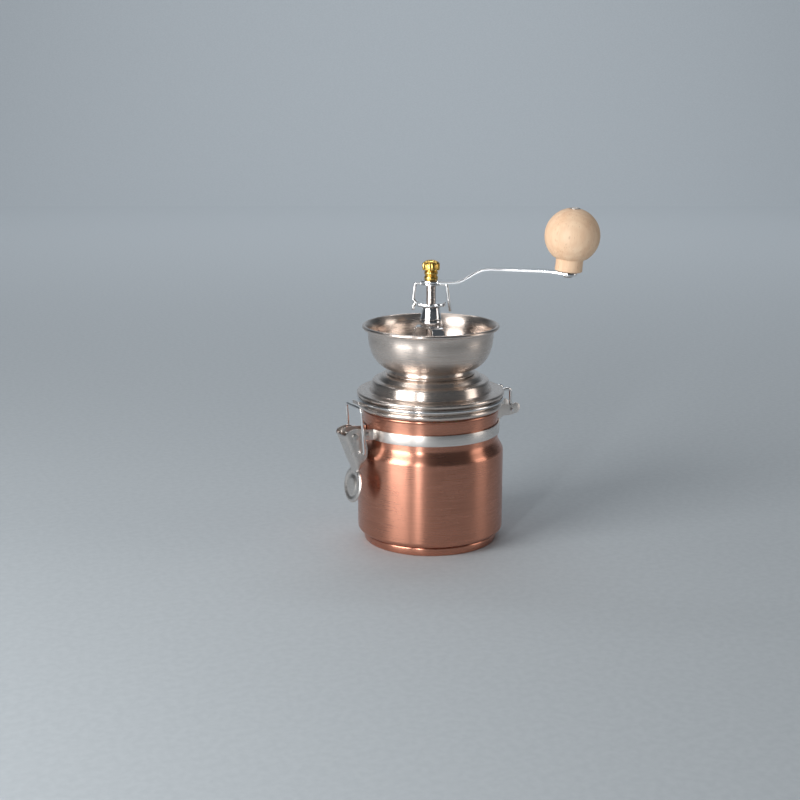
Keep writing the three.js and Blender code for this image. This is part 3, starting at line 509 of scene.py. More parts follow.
def beech(name, centre, lean):
    """Bare turned beech: upright fibres, faint growth rings and short brown flecks."""
    material, tree, shader = new_material(name, Specular_IOR_Level=0.35)
    vector = object_place(tree, centre, lean)

    def stretched(x, y, z):
        return add(tree, "ShaderNodeMapping", Vector=vector, Scale=(x, y, z)).outputs[0]

    fibre = noise(tree, stretched(1500, 1500, 60), detail=4.0)
    tone = noise(tree, stretched(160, 160, 14), detail=3.0)
    settings = {"wave_type": "RINGS", "rings_direction": "Z"}
    rings = add(tree, "ShaderNodeTexWave", settings, Vector=stretched(70, 110, 5), Scale=1.0,
                Distortion=3.5, Detail=2.0, Detail_Scale=1.4)
    specks = add(tree, "ShaderNodeTexVoronoi", Vector=stretched(1100, 1100, 190), Scale=1.0)
    rare = noise(tree, stretched(500, 500, 120), detail=1.0)
    fleck = times(tree, spread(tree, specks.outputs["Distance"], 0.16, 0.3, 1.0, 0.0),
                  spread(tree, rare[0], 0.5, 0.58))
    color = mix(tree, spread(tree, tone[0], 0.35, 0.65), (0.80, 0.52, 0.33, 1), (0.90, 0.66, 0.46, 1))
    color = mix(tree, spread(tree, rings.outputs[1], 0.2, 1.0, 0.0, 0.30), color, (0.74, 0.46, 0.28, 1))
    color = mix(tree, spread(tree, fibre[0], 0.4, 0.7, 0.0, 0.30), color, (0.95, 0.74, 0.54, 1))
    color = mix(tree, times(tree, fleck, 0.55), color, (0.46, 0.24, 0.12, 1))
    rough = spread(tree, fibre[0], 0.3, 0.7, 0.62, 0.48)
    height = maths(tree, "SUBTRACT", fibre[0], times(tree, fleck, 0.6))
    surface(tree, shader, color, rough, height, 0.35, 0.00006)
    return material


def moulded(name, color, roughness, grain=900.0, depth=0.3, fine=0.06, **constants):
    """A moulded or fired material: fine surface grain, cloudy tone, a painted highlight on its sharp edges
    and painted brown shade in its hollows.
    """
    material, tree, shader = new_material(name, **constants)
    vector = object_place(tree)
    marks = place_group(tree, "marks", Vector=vector)
    edges = place_group(tree, "edges")
    pores = noise(tree, vector, grain, 4.0, 0.7)
    cloud = noise(tree, vector, 60.0, 3.0)
    tone = mix(tree, spread(tree, cloud[0], 0.35, 0.65), shade_of(color, 0.92), shade_of(color, 1.05))
    tone = mix(tree, spread(tree, pores[0], 0.55, 0.75, 0.0, 0.25), tone, shade_of(color, 0.75))
    # Painted highlight on sharp edges, then painted shade in the hollows in a dark brown.
    tone = mix(tree, times(tree, edges["Edges"], 0.25), tone, shade_of(color, 1.25))
    tone = mix(tree, times(tree, edges["Painted Hollow Shade"], 0.3), tone, (0.24, 0.17, 0.12, 1))
    rough = maths(tree, "ADD", spread(tree, pores[0], 0.3, 0.7, roughness - fine, roughness + fine),
                  times(tree, marks["Smudges"], -0.05))
    surface(tree, shader, tone, rough, pores[0], depth, 0.00008)
    return material


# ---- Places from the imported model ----

joints = {j["name"]: j for j in frame["joints"]}
lever_pin = Vector(joints["clasp_turn"]["pos_m"]) / MM
bail_foot = Vector(joints["bail_swing"]["pos_m"]) / MM
hinge_pin = Vector(joints["lid_open"]["pos_m"]) / MM
knob_seat = Vector(joints["knob_spin"]["pos_m"]) / MM
knob_axis = Vector(joints["knob_spin"]["axis"])
crank_angle = math.degrees(math.atan2(knob_seat.y, knob_seat.x))
arm_reach = math.hypot(knob_seat.x, knob_seat.y)
knob_lean = math.degrees(math.acos(knob_axis.z))

jar_radius = high("jar_body").x
jar_top = high("jar_body").z
neck_radius = jar_radius - 3.8
band_radius = neck_radius + 1.1
cover_top = high("lid_cover").z
bowl_rim = high("hopper_bowl").z
bowl_radius = high("hopper_bowl").x - 4

COPPER = (0.60, 0.275, 0.19)
STEEL = (0.74, 0.65, 0.59)
PALE_STEEL = (0.80, 0.755, 0.72)

# The strength given for the hollows in these calls sets how dark their painted shade is.
copper = metal("copper finish", COPPER, 0.26, contrast=0.12, depth=0.30, anisotropy=0.8, hollow_shade=0.5)
satin = metal("satin steel", STEEL, 0.25, contrast=0.10, depth=0.28, anisotropy=0.75)
band_metal = metal("pale band steel", PALE_STEEL, 0.28, contrast=0.10, depth=0.25, anisotropy=0.6)
lever_metal = metal(
    "pale lever steel", (0.72, 0.675, 0.64), 0.25, "long", contrast=0.2, depth=0.3, turn=(0, 65, 0),
    smudge=0.1, hollow_shade=0.75,
)
tongue_metal = metal("pale tongue steel", PALE_STEEL, 0.30, "long", contrast=0.14, depth=0.3, turn=(0, 0, 90))
rivet_metal = metal("plain steel", (0.60, 0.57, 0.54), 0.28, "long", contrast=0.1, depth=0.15)
chrome = metal("chrome plate", (0.84, 0.84, 0.85), 0.07, contrast=0.03, depth=0.03, smudge=0.08, lines=0.3)
arm_chrome = metal("chromed arm", (0.84, 0.84, 0.85), 0.10, "long", contrast=0.03, depth=0.04, smudge=0.08,
                   lines=0.3, turn=(0, 0, -crank_angle))
wire_chrome = metal("bright wire", (0.80, 0.79, 0.785), 0.13, "long", contrast=0.05, depth=0.06, lines=0.5)
shaft_metal = metal("threaded steel", (0.62, 0.55, 0.51), 0.24, contrast=0.12, depth=0.1, hollow_shade=0.8)
brass = metal("polished brass", (0.86, 0.56, 0.15), 0.20, contrast=0.08, depth=0.1, hollow_shade=0.8, density=3600.0)
ceramic = moulded("unglazed ceramic", (0.83, 0.80, 0.73, 1), 0.55, depth=0.2)
plastic = moulded("black moulded plastic", (0.022, 0.022, 0.024, 1), 0.45, grain=1500.0, depth=0.35)
silicone = moulded(
    "white silicone", (0.74, 0.72, 0.67, 1), 0.42, grain=500.0, depth=0.1, Subsurface_Weight=0.3,
    Subsurface_Scale=0.002,
)
wood = beech("bare beech", knob_seat, (0, -knob_lean, -crank_angle))


# ---- Jar ----


def build_jar():
    bottom = low("jar_body").z
    shoulder = jar_top - 20.4
    bead = arc(neck_radius - 0.35, jar_top - 1.05, 1.05, -70, 132, 12)
    outer = [(0, bottom), (jar_radius - 6.2, bottom)]
    outer += [(jar_radius - 5.8, bottom + 0.4), (jar_radius - 5.8, bottom + 4.1)]
    outer += arc(jar_radius - 3.6, bottom + 7.7, 3.6, -90, 0, 10)
    for i in range(17):
        t = i / 16
        eased = t * t * (3 - 2 * t)
        outer.append((jar_radius - 3.8 * eased, shoulder - 9.5 * (1 - t)))
    inner = [(r - SHEET, h) for r, h in reversed(outer[14:])]
    floor = [(jar_radius - 1, bottom + 12), (jar_radius - 7, bottom + 1), (0, bottom + 1)]
    profile = [*outer, *bead, *inner, *floor]
    finish(lathe("jar", profile, 128, 0.12), "jar_body", copper)

    foot, height = high("base_cap").x, high("base_cap").z
    ring = [(0, 0.7), (foot - 9, 0.7), (foot - 8.4, 0), (foot - 2.2, 0), (foot - 1.3, 0.5)]
    ring += [(foot - 0.2, height - 1.1), (foot - 0.5, height - 0.1), (foot - 2.0, height)]
    ring += [(foot - 2.0, 2.1), (0, 2.1)]
    finish(lathe("jar_foot", ring, 128, 0.35), "base_cap", copper)


def build_band():
    """Strap round the neck; its two ends turn out as ears with round ends for the lever's rivet."""
    bottom, top = jar_top - 16.9, jar_top - 9.5
    reach, inside, thick = 3.9, 5.6, 0.8
    middle = band_radius - thick / 2
    y = inside + thick / 2 + 0.05
    tip = lever_pin.x - reach
    meets = -math.sqrt(middle**2 - y**2)
    start = math.degrees(math.atan2(y, meets))
    circle = [polar(middle, start - 2.5 - (2 * start - 5) * i / 96) for i in range(97)]
    ear = [(tip + reach * (1 - math.cos(math.radians(18 * i))), y) for i in range(6)]
    bend = rounded([(meets - 4, y), (meets, y), circle[0]], 2.2, 6)[1:-1]
    line = [*ear, (lever_pin.x + 5, y), (meets - 4, y), *bend, *circle]
    line += [(p[0], -p[1]) for p in reversed([*ear, (lever_pin.x + 5, y), (meets - 4, y), *bend])]
    strap = draw("neck_strap", [(*p, bottom) for p in line])
    extrude(0, 0, top - bottom)
    round_the_ears(strap, ear, y, (bottom, top), lever_pin, reach)
    close_up()
    apply_modifier(strap, "SOLIDIFY", thickness=thick * MM, offset=0)
    soften(strap, 0.2, 40)
    finish(strap, "neck_band", band_metal)


def select_where(piece, test):
    """In edit mode, selects just the points whose place in millimetres passes the test."""
    bpy.ops.mesh.select_all(action="DESELECT")
    mode("OBJECT")
    for vertex in piece.data.vertices:
        vertex.select = bool(test(vertex.co / MM))
    mode("EDIT")


def round_the_ears(piece, ear, y, edges, pin, reach):
    """Cuts the strap's upper and lower edges at both ears down to a round end about the pin."""
    bottom, top = edges
    for x, _ in [*ear, (pin.x + 5, y)]:
        across = min(1.0, max(-1.0, (x - pin.x) / reach))
        half = reach * math.sqrt(max(0.0, 1 - across * across)) if x < pin.x else reach
        half = max(half, 0.35)
        for edge, target in ((bottom, pin.z - half), (top, pin.z + half)):
            select_where(
                piece,
                lambda p: abs(p.x - x) < 0.02 and abs(abs(p.y) - y) < 0.3 and abs(p.z - edge) < 0.01,
            )
            bpy.ops.transform.translate(value=(0, 0, (target - edge) * MM))


def build_rivets():
    for node, x, z, radius, height, grip in (
        ("band_rivet", -band_radius - 4.4, jar_top - 12.4, 1.9, 0.8, 6.8),
        ("lever_rivet", lever_pin.x, lever_pin.z, 2.3, 0.55, 8.0),
    ):
        dome = [(1.2, grip), (radius, grip), (radius, grip + 0.2)]
        dome += [(radius * math.cos(a), grip + 0.2 + (height - 0.2) * math.sin(a)) for a in (0.35, 0.7, 1.1)]
        dome += [(0, grip + height)]
        profile = [(r, -h) for r, h in reversed(dome)] + dome
        finish(lathe(node + "_pin", profile, 32, 0.06, (x, 0, z), "Y"), node, rivet_metal)


def build_hinge_bracket():
    """Strap piece held under the band, with two ears that end in round lobes for the lid's wire."""
    back = band_radius + GAP
    thick = SHEET
    y = 7.05 + thick / 2
    bottom, top = jar_top - 16.3, hinge_pin.z + 5
    root = math.sqrt((back + thick / 2) ** 2 - y**2)
    angle = math.degrees(math.atan2(y, root))
    arc_line = [polar(back + thick / 2, angle * 0.8 - angle * 1.6 * i / 12) for i in range(13)]
    centre, lobe = hinge_pin.x + 2.8, 3.7
    lobe_z = hinge_pin.z + 1
    ear = []
    for i in range(9):
        a = math.radians(11.25 * i)
        x = centre + lobe * math.cos(a)
        ear.append((x, lobe_z - lobe * math.sin(a) - 0.15, lobe_z + lobe * math.sin(a) + 0.15))
    lip = hinge_pin.z - 3.6
    ear += [(hinge_pin.x - 1, lip, hinge_pin.z + 3.7), (hinge_pin.x - 4, lip, hinge_pin.z + 4.4)]
    ear += [(hinge_pin.x - 7, lip, top), (root + 3.5, lip - 2, top), (root + 1.5, bottom + 0.8, top)]
    side = [(x, y, lo, hi) for x, lo, hi in ear]
    stations = side + [(x, py, bottom, top) for x, py in arc_line]
    stations += [(x, -py, lo, hi) for x, py, lo, hi in reversed(side)]
    blank = 60  # height that the plate is drawn with before its upper edge is put in place
    plate = draw("hinge_plate", [(x, py, lo) for x, py, lo, hi in stations])
    extrude(0, 0, blank)
    for x, py, lo, hi in stations:
        at = Vector((x, py, lo + blank))
        select_where(plate, lambda p: (p - at).length < 0.02)
        bpy.ops.transform.translate(value=(0, 0, (hi - lo - blank) * MM))
    close_up()
    apply_modifier(plate, "SOLIDIFY", thickness=thick * MM, offset=0)
    soften(plate, 0.22, 40)
    finish(plate, "hinge_bracket", band_metal)


# ---- Clasp ----


def build_lever():
    """Pressed channel, open towards the jar, drawn out below into a neck and an oval thumb tab."""
    half, corner = 7.7, 2.5
    # Web's place, cheek edge's place and half width of each row, from the lever's pin.
    rows = [
        (-7.5, 0.6, -5.6, 3.5, half), (-7.0, -0.3, -2.8, 4.7, half), (-6.4, -1.6, 0.0, 5.3, half),
        (-5.8, -3.2, 3.2, 5.0, half), (-5.1, -4.9, 5.2, 3.8, half), (-4.3, -7.0, 6.4, 1.4, half),
        (-3.4, -9.2, 7.5, -2.6, half), (-2.5, -11.5, 8.5, -6.2, half), (-1.4, -14.2, 9.1, -10.0, half),
        (-0.2, -17.0, 9.0, -13.2, half), (0.9, -19.7, 8.0, -16.8, half), (1.8, -22.0, 6.4, -20.2, 7.0),
        (2.2, -23.8, 4.5, -22.8, 5.8), (2.1, -24.7, 3.3, -24.4, 5.4),
    ]
    channel_rows = len(rows)
    middle, wide, tall = -34.9, 12.2, 12.0
    for i in range(30):
        a = math.radians(27 + 150 * i / 29)
        z = middle + tall * math.cos(a)
        x = 2.1 - 0.155 * (-25.0 - z)
        rows.append((x, z, x, z, wide * math.sin(a)))
    cheek, bend, web = 3, 7, 13
    count = 2 * (cheek + bend) + web

    def tab_depth(y, z):
        s = math.hypot(y / wide, (z - middle) / tall)
        levels = [(0, -0.25), (0.42, -0.15), (0.56, 0.55), (0.68, 0.6)]
        levels += [(0.80, 0.0), (0.90, 0.0), (1.0, 0.9), (2, 0.9)]
        for (s0, d0), (s1, d1) in zip(levels, levels[1:]):
            if s <= s1:
                t = (s - s0) / (s1 - s0)
                return d0 + (d1 - d0) * t * t * (3 - 2 * t)
        return 0.9

    def place(row, column):
        wx, wz, ex, ez, width = rows[row]
        mirrored = column > (count - 1) / 2
        k = count - 1 - column if mirrored else column
        side = -1 if mirrored else 1
        if row >= channel_rows:
            y = width * (1 - 2 * k / (count - 1))
            return lever_pin + Vector((wx + tab_depth(y, wz), side * y, wz))
        reach = math.hypot(ex - wx, ez - wz)
        c = min(corner, 0.8 * reach, 0.4 * width)
        if k < cheek:
            d, y = reach + (c - reach) * k / cheek, width
        elif k < cheek + bend:
            a = math.radians(90 * (k - cheek) / (bend - 1))
            d, y = c - c * math.sin(a), width - c + c * math.cos(a)
        else:
            y = (width - c) * (1 - (k - cheek - bend + 1) / ((web + 1) / 2))
            d = 0
        t = d / reach
        return lever_pin + Vector((wx + (ex - wx) * t, side * y, wz + (ez - wz) * t))

    bpy.ops.mesh.primitive_grid_add(x_subdivisions=count - 1, y_subdivisions=len(rows) - 1, size=2)
    lever = bpy.context.object
    lever.name = lever.data.name = "clasp_lever_plate"
    for point in lever.data.vertices:
        column = round((point.co.x + 1) / 2 * (count - 1))
        row = round((point.co.y + 1) / 2 * (len(rows) - 1))
        point.co = place(row, column) * MM
    lever.data.update()
    if sum(face.normal.x for face in lever.data.polygons) > 0:
        mode("EDIT")
        bpy.ops.mesh.select_all(action="SELECT")
        bpy.ops.mesh.flip_normals()
        mode("OBJECT")
    apply_modifier(lever, "SOLIDIFY", thickness=SHEET * MM, offset=-1)
    soften(lever, 0.2, 50, 2)
    apply_modifier(lever, "SUBSURF", levels=1)
    shade(lever, 50)
    finish(lever, "clasp_lever", lever_metal)


def build_bail():
    top = high("bail_wire").z - 0.95
    half, tip, lean = 11.0, 6.3, 2.1
    foot = bail_foot
    side = [(foot.x, tip, foot.z), (foot.x, half, foot.z), (foot.x - lean, half, top)]
    corners = [(x, -y, z) for x, y, z in side] + list(reversed(side))
    bail = bent_wire("bail_loop", corners, 0.95, 2.6, sides=4)
    finish(bail, "bail_wire", wire_chrome)


# ---- Lid ----


def build_lid():
    top = cover_top
    flange = jar_radius + 0.3
    edge_z = top - 12.9
    first, second = flange - 10.1, flange - 15.7
    outer = arc(flange - 1.5, edge_z, 1.5, -60, 90, 9)
    risers = [(flange - 1.9, edge_z + 1.5), (first + 1.2, edge_z + 1.5), (first - 0.5, top - 3.7)]
    risers += [(second + 1.0, top - 3.7), (second - 1.2, top), (18.1, top)]
    outer += rounded(risers, [1.1, 3.0, 0.9, 2.6], 6)
    finish(lathe("lid_cover_dome", sheet(outer, SHEET), 128, 0.1), "lid_cover", satin)

    pan, edge = jar_top + 1.9, jar_radius - 3
    plug = neck_radius - 3.2
    body = [(27.1, pan + 2.0), (plug - 1.1, pan + 2.0), (plug - 1.1, jar_top - 4.7), (plug, jar_top - 4.7)]
    body += [(plug, pan), (neck_radius + 0.8, pan)]
    body += arc(edge, pan + 0.6, 2, -80, 80, 12)
    body += [(47.55, pan + 2.9), (47.55, top - 12.7), (46.45, top - 12.7), (46.45, pan + 3.3)]
    body += [(27.1, pan + 3.3)]
    finish(lathe("lid_base_pan", [*body, body[0]], 128, 0.25), "lid_base", satin)

    inner, outer_edge = plug + 0.3, neck_radius + 0.5
    z0, z1 = jar_top + 0.3, jar_top + 1.6
    seal = [(inner, z0), (inner + 1, z0), (inner + 1.25, z0 + 0.25), (inner + 1.5, z0)]
    seal += [(outer_edge, z0), (outer_edge, z1), (inner, z1)]
    finish(lathe("lid_seal", [*seal, seal[0]], 96, 0.18), "lid_gasket", silicone)


def build_ring():
    """Wire round the lid; its two ends turn out and down into the hinge bracket's ears."""
    wire, radius, leg = 1.15, jar_radius - 0.7, 5.6
    z = high("lid_wire_ring").z - wire
    start = math.degrees(math.asin(leg / radius))
    loop = [(*p, z) for p in arc(0, 0, radius, start, 360 - start, 96)]
    outer = leg + wire + GAP + 0.9 + 1.2
    x, low_z = hinge_pin.x, hinge_pin.z
    run = rounded([(x, outer, low_z), (x, leg, low_z), (x, leg, z), loop[0], loop[2]], [1.8, 2.4, 2.0], 6)
    back = [(x, -y, h) for x, y, h in reversed(run)]
    ring = bent_wire("lid_wire", [*run, *loop[3:-3], *back], wire, sides=4)
    finish(ring, "lid_wire_ring", wire_chrome)
    return z


def build_tongue(z):
    root = jar_radius - 0.7 + 1.15 + GAP
    lip = low("lid_tongue").x
    line = rounded([(-root, z + 0.4), (lip + 1.5, z + 0.4), (lip + 0.6, z + 3.0)], 1.6, 6)
    stations = []
    for i, (x, h) in enumerate(line):
        ease = min(1.0, (len(line) - 1 - i) / 3)
        stations.append((x, h, 5.5 - 1.1 * (1 - ease) ** 2))
    tongue = strip("lid_hook", stations, SHEET, across=6, soft=0.25)
    finish(tongue, "lid_tongue", tongue_metal)


# ---- Hopper and its bearing ----


def build_hopper():
    bottom = bowl_rim - 29.6
    foot = bowl_radius - 15
    collar = foot + 2.4
    z0 = cover_top + GAP
    ring = [(collar - 4.5, z0), (collar, z0), (collar, z0 + 0.5)]
    ring += rounded([(collar - 0.2, z0 + 0.6), (foot + 0.9, z0 + 1.4), (foot + 0.5, bottom - GAP)], 1.2, 6)
    ring += [(collar - 4.5, bottom - GAP)]
    finish(lathe("bowl_collar", [*ring, ring[0]], 96, 0.12), "hopper_collar", satin)

    side_z = bottom + 22.8

    def side(inset):
        for i in range(1, 19):
            a = math.pi / 2 * i / 18
            yield (foot + (15 - inset) * math.sin(a), side_z - (22.8 - inset) * math.cos(a))

    rim_z, rim_radius = bowl_rim - 1.3, bowl_radius + 2.7
    profile = [(17.7, bottom - 7), (17.7, bottom), (foot, bottom), *side(0), (bowl_radius + 0.5, rim_z - 3.0)]
    profile += arc(rim_radius, rim_z, 1.3, 208, 505, 18)
    profile += [(bowl_radius - 0.2, rim_z - 2.0), *reversed(list(side(SHEET)))]
    profile += [(foot, bottom + SHEET), (16.8, bottom + SHEET), (16.8, bottom - 7), profile[0]]
    finish(lathe("hopper_bowl_shell", profile, 128, 0.15), "hopper_bowl", satin)


LEG_TURNS = [27, 147, 267]  # where the three legs of the bearing bracket point, in degrees
LEG_CIRCLE = 22.8  # radius at which their screws stand


def build_bracket():
    floor = bowl_rim - 28.7
    foot = floor + GAP + 1.2
    low_z = low("upper_bush").z
    parts = [lathe("bearing_collar", section(5.3, 7.2, low_z, low_z + 5.2), 64, 0.3)]
    leg_top = low_z + 1.1
    line = [(5.9, leg_top), (10.6, leg_top), (17.6, foot), (LEG_CIRCLE + 3.2, foot)]
    line = rounded(line, [2.6, 3.0], 6)[:-1]
    line += [(LEG_CIRCLE + 3.2 * math.sin(math.radians(18 * i)), foot) for i in range(1, 6)]
    stations = []
    for x, z in line:
        ease = max(0.0, (x - LEG_CIRCLE) / 3.2)
        stations.append((x, z, max(0.5, 4.3 * math.sqrt(max(0.0, 1 - ease**2)))))
    for turn in LEG_TURNS:
        parts.append(turned_to(strip("leg", stations, 1.1, across=4, soft=0.25), turn))
    bracket = join("bearing_bracket_legs", *parts)
    finish(bracket, "bearing_bracket", chrome)

    seat = foot + GAP
    for i, turn in enumerate(LEG_TURNS):
        head = [(0, floor - 11), (1.5, floor - 11), (1.5, seat), (2.7, seat), (2.7, seat + 0.6)]
        head += [(1.9, seat + 1.3), (0, seat + 1.6)]
        screw = lathe("screw", head, 32, 0.2)
        cut_slot(screw, seat + 1.6, 5.0, 0.6, 0.7)
        screw.location.x = LEG_CIRCLE * MM
        settle(screw)
        turned_to(screw, turn)
        screw.name = f"leg_screw_{i + 1}"
        finish(screw, f"bracket_screw_{i + 1}", rivet_metal)


def cut_slot(piece, top, length, width, depth):
    """A driver's slot across a screw head."""
    bpy.ops.object.select_all(action="DESELECT")
    bpy.ops.mesh.primitive_cube_add(size=1, location=(0, 0, top * MM))
    cutter = bpy.context.object
    cutter.scale = (length * MM, width * MM, 2 * depth * MM)
    settle(cutter)
    apply_modifier(piece, "BOOLEAN", object=cutter, operation="DIFFERENCE", solver="EXACT")
    bpy.data.objects.remove(cutter)
    shade(piece)


def build_bush():
    z0, z1 = heights("upper_bush")
    foot = z1 - 9.2
    profile = [(3.6, z0), (5, z0), (5, foot), (7.3, foot), (7.3, foot + 0.9), (6.9, foot + 1.3)]
    profile += [(6.1, z1 - 1.6), (6.1, z1 - 0.9), (5.4, z1), (3.6, z1), (3.6, z0)]
    finish(lathe("bearing_cone", profile, 96, 0.25), "upper_bush", chrome)


# ---- Mill ----


def build_mill():
    z0, z1 = heights("burr_housing")
    outer = high("burr_housing").y
    bore = outer - 2.5
    wall = [(outer, z0), (outer, z1 - 16), (outer - 0.5, z1 - 15.5), (outer - 0.5, z1), (18.1, z1)]
    wall += [(18.1, z1 - 4.5), (bore, z1 - 4.5), (bore, z0), (outer, z0)]
    finish(lathe("mill_housing", wall, 96, 0.4), "burr_housing", plastic)

    z0, z1 = heights("burr_clamp_ring")
    seat = high("burr_clamp_ring").y
    clamp = lathe("clamp_ring", section(seat - 2.2, seat, z0, z1), 96, 0.4)
    finish(clamp, "burr_clamp_ring", plastic)

    kept = {"shaft_spider": plastic, "cone_burr": ceramic, "ring_burr": ceramic, "lower_bush": brass}
    for node, material in kept.items():
        frame["nodes"][node].data.materials.clear()
        frame["nodes"][node].data.materials.append(material)

    z0, z1 = heights("burr_washer")
    washer = lathe("burr_washer_disc", section(2.8, 7.5, z0, z1), 64, 0.2)
    finish(washer, "burr_washer", rivet_metal)
    z0, z1 = heights("burr_nut")
    hexagon = [polar(4.6, 60 * (i % 6)) for i in range(7)]
    nut = slab("burr_nut_hex", hexagon, z0, z1, 0.35)
    finish(nut, "burr_nut", rivet_metal)

    z0, z1 = low("thrust_spring").z + 0.55, high("thrust_spring").z - 0.55
    coil = [(*polar(5, 11.25 * i), z0 + (z1 - z0) * i / 96) for i in range(97)]
    spring = bent_wire("thrust_coil", coil, 0.55, sides=2)
    turned_to(spring, crank_angle)
    finish(spring, "thrust_spring", rivet_metal)


# ---- Crank ----


def build_shaft():
    z0, z1 = heights("drive_shaft")
    arm = z1 - 11
    burr = z0 + 8
    profile = [(0, z0), (2.1, z0), (2.45, z0 + 0.5), (2.45, burr), (3.2, burr), (3.2, arm), (2.45, arm)]
    profile += [(2.45, z1 - 0.5), (2.1, z1), (0, z1)]
    rod = lathe("drive_rod", profile, 48, 0.1)
    disc, clip = high("adjuster_disc").z, high("lock_clip").z - 1.2
    pitch = 0.9
    turns = int((clip - 0.3 - disc - 0.3) / pitch)
    start = disc + 0.3
    tooth = [(2.95, 0, start), (3.3, 0, start + 0.3), (3.3, 0, start + 0.42), (2.95, 0, start + 0.78)]
    tooth.append(tooth[0])
    thread = draw("thread", tooth)
    bpy.ops.mesh.remove_doubles(threshold=1e-6)
    mode("OBJECT")
    settings = {"screw_offset": pitch * MM, "iterations": turns, "steps": 32, "render_steps": 32}
    apply_modifier(thread, "SCREW", axis="Z", use_merge_vertices=False, **settings)
    choose(thread)
    mode("EDIT")
    bpy.ops.mesh.select_all(action="SELECT")
    bpy.ops.mesh.fill_holes(sides=5)
    close_up()
    shade(thread)
    shaft = join("drive_rod", rod, thread)
    turned_to(shaft, crank_angle)
    finish(shaft, "drive_shaft", shaft_metal)


def build_disc():
    z0, z1 = heights("adjuster_disc")
    radius, notch = 10.1, 1.5
    outline = []
    half = 2 * math.degrees(math.asin(notch / 2 / radius))
    for i in range(6):
        middle = 180 + 60 * i
        cx, cy = polar(radius, middle)
        outline += arc(cx, cy, notch, middle - 94, middle - 266, 12)
        outline += arc(0, 0, radius, middle + half + 2, middle + 58 - half, 12)
    disc = slab("grind_disc", [*outline, outline[0]], z0, z1, 0.45, 4)
    turned_to(disc, crank_angle)
    finish(disc, "adjuster_disc", chrome)


def build_clip():
    z1 = high("lock_clip").z
    wire, reach, catch = 1.0, 12.4, 10.2
    disc_top, disc_low = high("adjuster_disc").z, low("adjuster_disc").z
    top = reach - 1.4
    stations = []
    for i in range(25):
        x = -top + 2 * top * i / 24
        bulge = max(0.0, 1 - (x / 5.6) ** 2)
        stations.append((x, z1, 1.5 + 4.1 * math.sqrt(bulge)))
    bar = strip("clip_bar", stations, 1.2, across=4, soft=0.25)
    end, z = disc_low - 3.4, z1 - wire
    springing = [(-top + 1, 0, z), (-top, 0, z), (-reach, 0, disc_top + 1.2), (-catch, 0, disc_top - 0.6)]
    springing += [(-reach, 0, disc_low - 0.6), (-reach, 0, end)]
    plain = [(top - 1, 0, z), (top, 0, z), (reach + 1, 0, end)]
    legs = [bent_wire("clip_leg", route, wire, 1.6, sides=4) for route in (springing, plain)]
    clip = join("grind_lock_clip", bar, *legs)
    turned_to(clip, crank_angle)
    finish(clip, "lock_clip", wire_chrome)


def build_arm():
    hub_top = high("lock_clip").z + GAP + 1.6
    rise, thick = 10.0, 1.6
    hub, waist, pad = 7.0, 4.5, 6.0
    slope = math.tan(math.radians(knob_lean))
    end = arm_reach - 14
    tip = arm_reach + pad
    top = hub_top + rise
    spine = [(-hub, hub_top), (19.6, hub_top), (35.4, top), (end, top), (tip, top - (tip - end) * slope)]
    spine = rounded(spine, [5.5, 6.5, 3.0], 7)

    def level(x):
        for (x0, z0), (x1, z1) in zip(spine, spine[1:]):
            if x0 <= x <= x1:
                return z0 + (z1 - z0) * (x - x0) / (x1 - x0)
        return spine[-1][1]

    def half(x):
        body = waist + max(0.0, min(1.0, (36 - x) / 15.5)) * 0.6
        if x < hub:
            round_end = math.sqrt(max(0.0, hub**2 - x**2))
            body = round_end if x < 4 else max(body, round_end)
        if x > arm_reach - pad:
            round_end = math.sqrt(max(0.0, pad**2 - (x - arm_reach) ** 2))
            body = round_end if x > arm_reach else max(body, round_end)
        return max(body, 0.4)

    places = {-hub * math.cos(math.radians(15 * i)) for i in range(12)}
    places |= {arm_reach + pad * math.sin(math.radians(15 * i)) for i in range(-5, 7)}
    places |= {x for x, _ in spine} | {20.5 + 4 * i for i in range(16)}
    kept = []
    for x in sorted(places):
        if not kept or x - kept[-1] > 0.25:
            kept.append(x)
    arm = strip("crank_bar", [(x, level(x), half(x)) for x in kept], thick, across=6, soft=0.35)
    turned_to(arm, crank_angle)
    finish(arm, "crank_arm", arm_chrome)
    return hub_top


def build_nut(arm_top):
    base = arm_top + GAP
    head = base + 6.7
    radius, flutes = 5.9, 12
    waists = [(0, 0), (4.6, 0), (4.6, 2.4), (3.9, 2.8), (3.9, 3.5), (4.6, 3.9), (4.6, 5.6)]
    waists += [(3.9, 6), (3.9, 7), (0, 7)]
    neck = [(r, base + h) for r, h in waists]
    collars = lathe("nut_collars", neck, 64, 0.3)
    outline = []
    for i in range(flutes * 8):
        a = math.tau * i / (flutes * 8)
        r = radius - 0.55 * max(0.0, -math.cos(flutes * a)) ** 0.7
        outline.append((r * math.cos(a), r * math.sin(a)))
    crown = draw("nut_crown", [(x * 0.93, y * 0.93, head) for x, y in [*outline, outline[0]]])
    bpy.ops.mesh.remove_doubles(threshold=1e-6)
    bpy.ops.mesh.edge_face_add()
    z, scale = head, 0.93
    domed = [(0.45, 1.0), (3.6, 1.0), (0.7, 0.93), (0.7, 0.80), (0.7, 0.60), (0.45, 0.38), (0.2, 0.15)]
    for rise, wanted in domed:
        extrude(0, 0, rise)
        z += rise
        ratio = wanted / scale
        bpy.ops.transform.resize(value=(ratio, ratio, 1), center_override=(0, 0, z * MM))
        scale = wanted
    close_up()
    soften(crown, 0.12, 40)
    nut = join("brass_crown_nut", collars, crown)
    turned_to(nut, crank_angle)
    finish(nut, "crown_nut", brass)


def stand_on_arm(piece):
    """Takes a piece drawn upright on the origin to the knob's place on the arm."""
    turn = Matrix.Rotation(math.radians(crank_angle), 4, "Z")
    lean = Matrix.Rotation(math.radians(knob_lean), 4, "Y")
    piece.matrix_world = Matrix.Translation(knob_seat * MM) @ turn @ lean
    return settle(piece)


